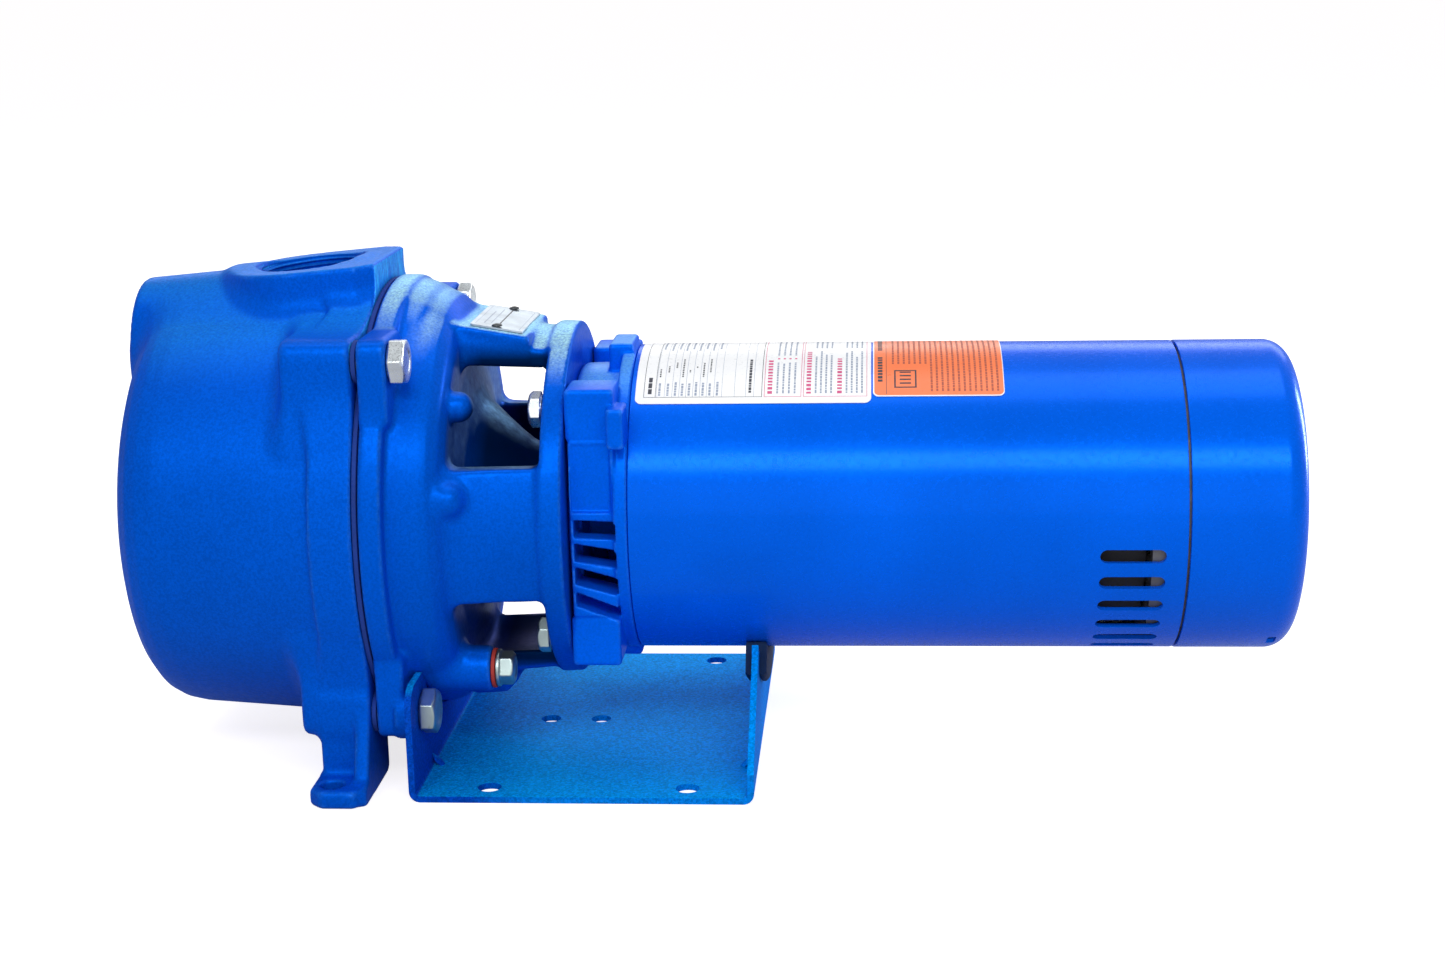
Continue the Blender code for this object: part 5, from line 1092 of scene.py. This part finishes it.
for name, marks, ink in (("dark", dark, INK), ("brown", brown, BROWN_INK)):
    print_bars(f"notice_print_{name}", marks, A0, 0.3, ink, "orange_label")


def on_pad(x, y, lift):
    return Vector((x, y, AXIS + pad_height(x) + lift)) * MM


def pad_sheet(name, outline, low, high, mat, **kw):
    """Flat sheet on the name plate's pad, from low to high over it."""
    bm = bmesh.new()
    ends = [[bm.verts.new(on_pad(x, y, h)) for x, y in outline] for h in (low, high)]
    return from_bmesh(name, capped(bm, ends), mat, **kw)


pad_sheet("name_plate", band(-55.5, -31.5, -27.5, 27.5, 1.2, 4), 0.3, 1.1, PLATE, replaces="pump_nameplate")
lines = ((-43.8, -43.2, -21, 21), (-53.6, -53.4, -24, 24), (-47.5, -47.1, -18, 20), (-50.4, -49.9, -20, 12),
         (-33.6, -33.4, -24, 24))
for number, (x0, x1, y0, y1) in enumerate(lines):
    pad_sheet(f"name_plate_line_{number}", [(x0, y0), (x1, y0), (x1, y1), (x0, y1)], 1.1, 1.13,
              GREY_INK if number else INK, slot="name_plate")


def drive_pin(x, y, z):
    """Round head over a short shank, upright."""
    def off(p):
        return np.hypot(p[:, 0] - x, p[:, 1] - y)

    return build(lambda p: meet(off(p) - 2.5, ball(x, y, z - 1.7, 4.3)(p), 0.3),
                 ("-", lambda p: p[:, 2] - z - 1.3, 0.0),
                 ("+", lambda p: np.maximum(off(p) - 1.0, np.abs(p[:, 2] - z + 1) - 3), 0.1))


for number, y in ((1, -24.5), (2, 24.5)):
    x, z = -43.5, pad_height(-43.5)
    cast(f"nameplate_pin_{number}", drive_pin(x, y, z), (x - 3, y - 3, z - 4), (x + 3, y + 3, z + 3),
         PAINTED_PIN, f"nameplate_pin_{number}", 0.35)

# ------------------------------------------------------------------ floor, light, camera
stage_mesh = bpy.data.meshes.new("floor")
bm = bmesh.new()
bmesh.ops.create_grid(bm, x_segments=1, y_segments=1, size=45.0)
bm.to_mesh(stage_mesh)
bm.free()
floor = bpy.data.objects.new("floor", stage_mesh)
bpy.context.scene.collection.objects.link(floor)
PAPER_WHITE = (1.0, 0.985, 0.99, 1)


def studio_white(tree, kind, dim, bright, output):
    """Even white where it is seen directly, and dimmer as a source of light."""
    seen, lit = tree.nodes.new(kind), tree.nodes.new(kind)
    for node, strength in ((seen, bright), (lit, dim)):
        node.inputs["Color"].default_value = PAPER_WHITE
        node.inputs["Strength"].default_value = strength
    switch = tree.nodes.new("ShaderNodeMixShader")
    tree.links.new(tree.nodes.new("ShaderNodeLightPath").outputs["Is Camera Ray"], switch.inputs[0])
    tree.links.new(lit.outputs[0], switch.inputs[1])
    tree.links.new(seen.outputs[0], switch.inputs[2])
    tree.links.new(switch.outputs[0], output)


white = bpy.data.materials.new("pale_floor")       # matt, and bright enough to pass for plain paper
white.use_nodes = True
tree = white.node_tree
tree.nodes.clear()
matt = tree.nodes.new("ShaderNodeBsdfDiffuse")
matt.inputs["Color"].default_value = (0.6, 0.591, 0.594, 1)
both = tree.nodes.new("ShaderNodeAddShader")
tree.links.new(matt.outputs[0], both.inputs[0])
studio_white(tree, "ShaderNodeEmission", 0.0, 0.78, both.inputs[1])
tree.links.new(both.outputs[0], tree.nodes.new("ShaderNodeOutputMaterial").inputs["Surface"])
floor.data.materials.append(white)

world = bpy.data.worlds.new("studio")
world.use_nodes = True
tree = world.node_tree
tree.nodes.clear()
studio_white(tree, "ShaderNodeBackground", 0.38, 1.0, tree.nodes.new("ShaderNodeOutputWorld").inputs["Surface"])
bpy.context.scene.world = world
bpy.context.scene.view_settings.view_transform = "Standard"


def softbox(name, where, target, size, watts):
    light = bpy.data.lights.new(name, "AREA")
    light.shape = "RECTANGLE"
    light.size, light.size_y = size
    light.energy = watts
    obj = bpy.data.objects.new(name, light)
    obj.location = where
    obj.rotation_euler = (Vector(target) - Vector(where)).to_track_quat("-Z", "Y").to_euler()
    bpy.context.scene.collection.objects.link(obj)


softbox("key", (0.15, -1.5, 1.3), (0.05, 0, 0.12), (2.2, 0.4), 20)
softbox("front", (0.1, -2.0, 0.5), (0.05, 0, 0.1), (2.6, 0.9), 6)
softbox("top", (0.0, 0.2, 1.8), (0.05, 0, 0.15), (2.0, 0.8), 11)
softbox("side", (1.7, 1.0, 0.38), (0.3, 0, 0.15), (0.2, 0.8), 20)
softbox("back", (0.1, 1.7, 0.9), (0.05, 0, 0.15), (2.4, 0.5), 9)

EYE, LENS = (0.13007, -0.9955, 0.36485), 54.07      # metres, mm
YAW, PITCH, ROLL = -0.0738, 0.2387, -0.0212         # radians
forward = Vector((sin(YAW) * cos(PITCH), cos(YAW) * cos(PITCH), -sin(PITCH)))
right = Vector((cos(YAW), -sin(YAW), 0))
up = right.cross(forward)
turned_right = right * cos(ROLL) + up * sin(ROLL)
turned_up = -right * sin(ROLL) + up * cos(ROLL)
camera = bpy.data.objects.new("camera", bpy.data.cameras.new("camera"))
camera.data.sensor_width = 36.0
camera.data.lens = LENS
camera.data.clip_end = 50
facing = Matrix((turned_right, turned_up, -forward)).transposed().to_4x4()
camera.matrix_world = Matrix.Translation(EYE) @ facing
bpy.context.scene.collection.objects.link(camera)
bpy.context.scene.camera = camera
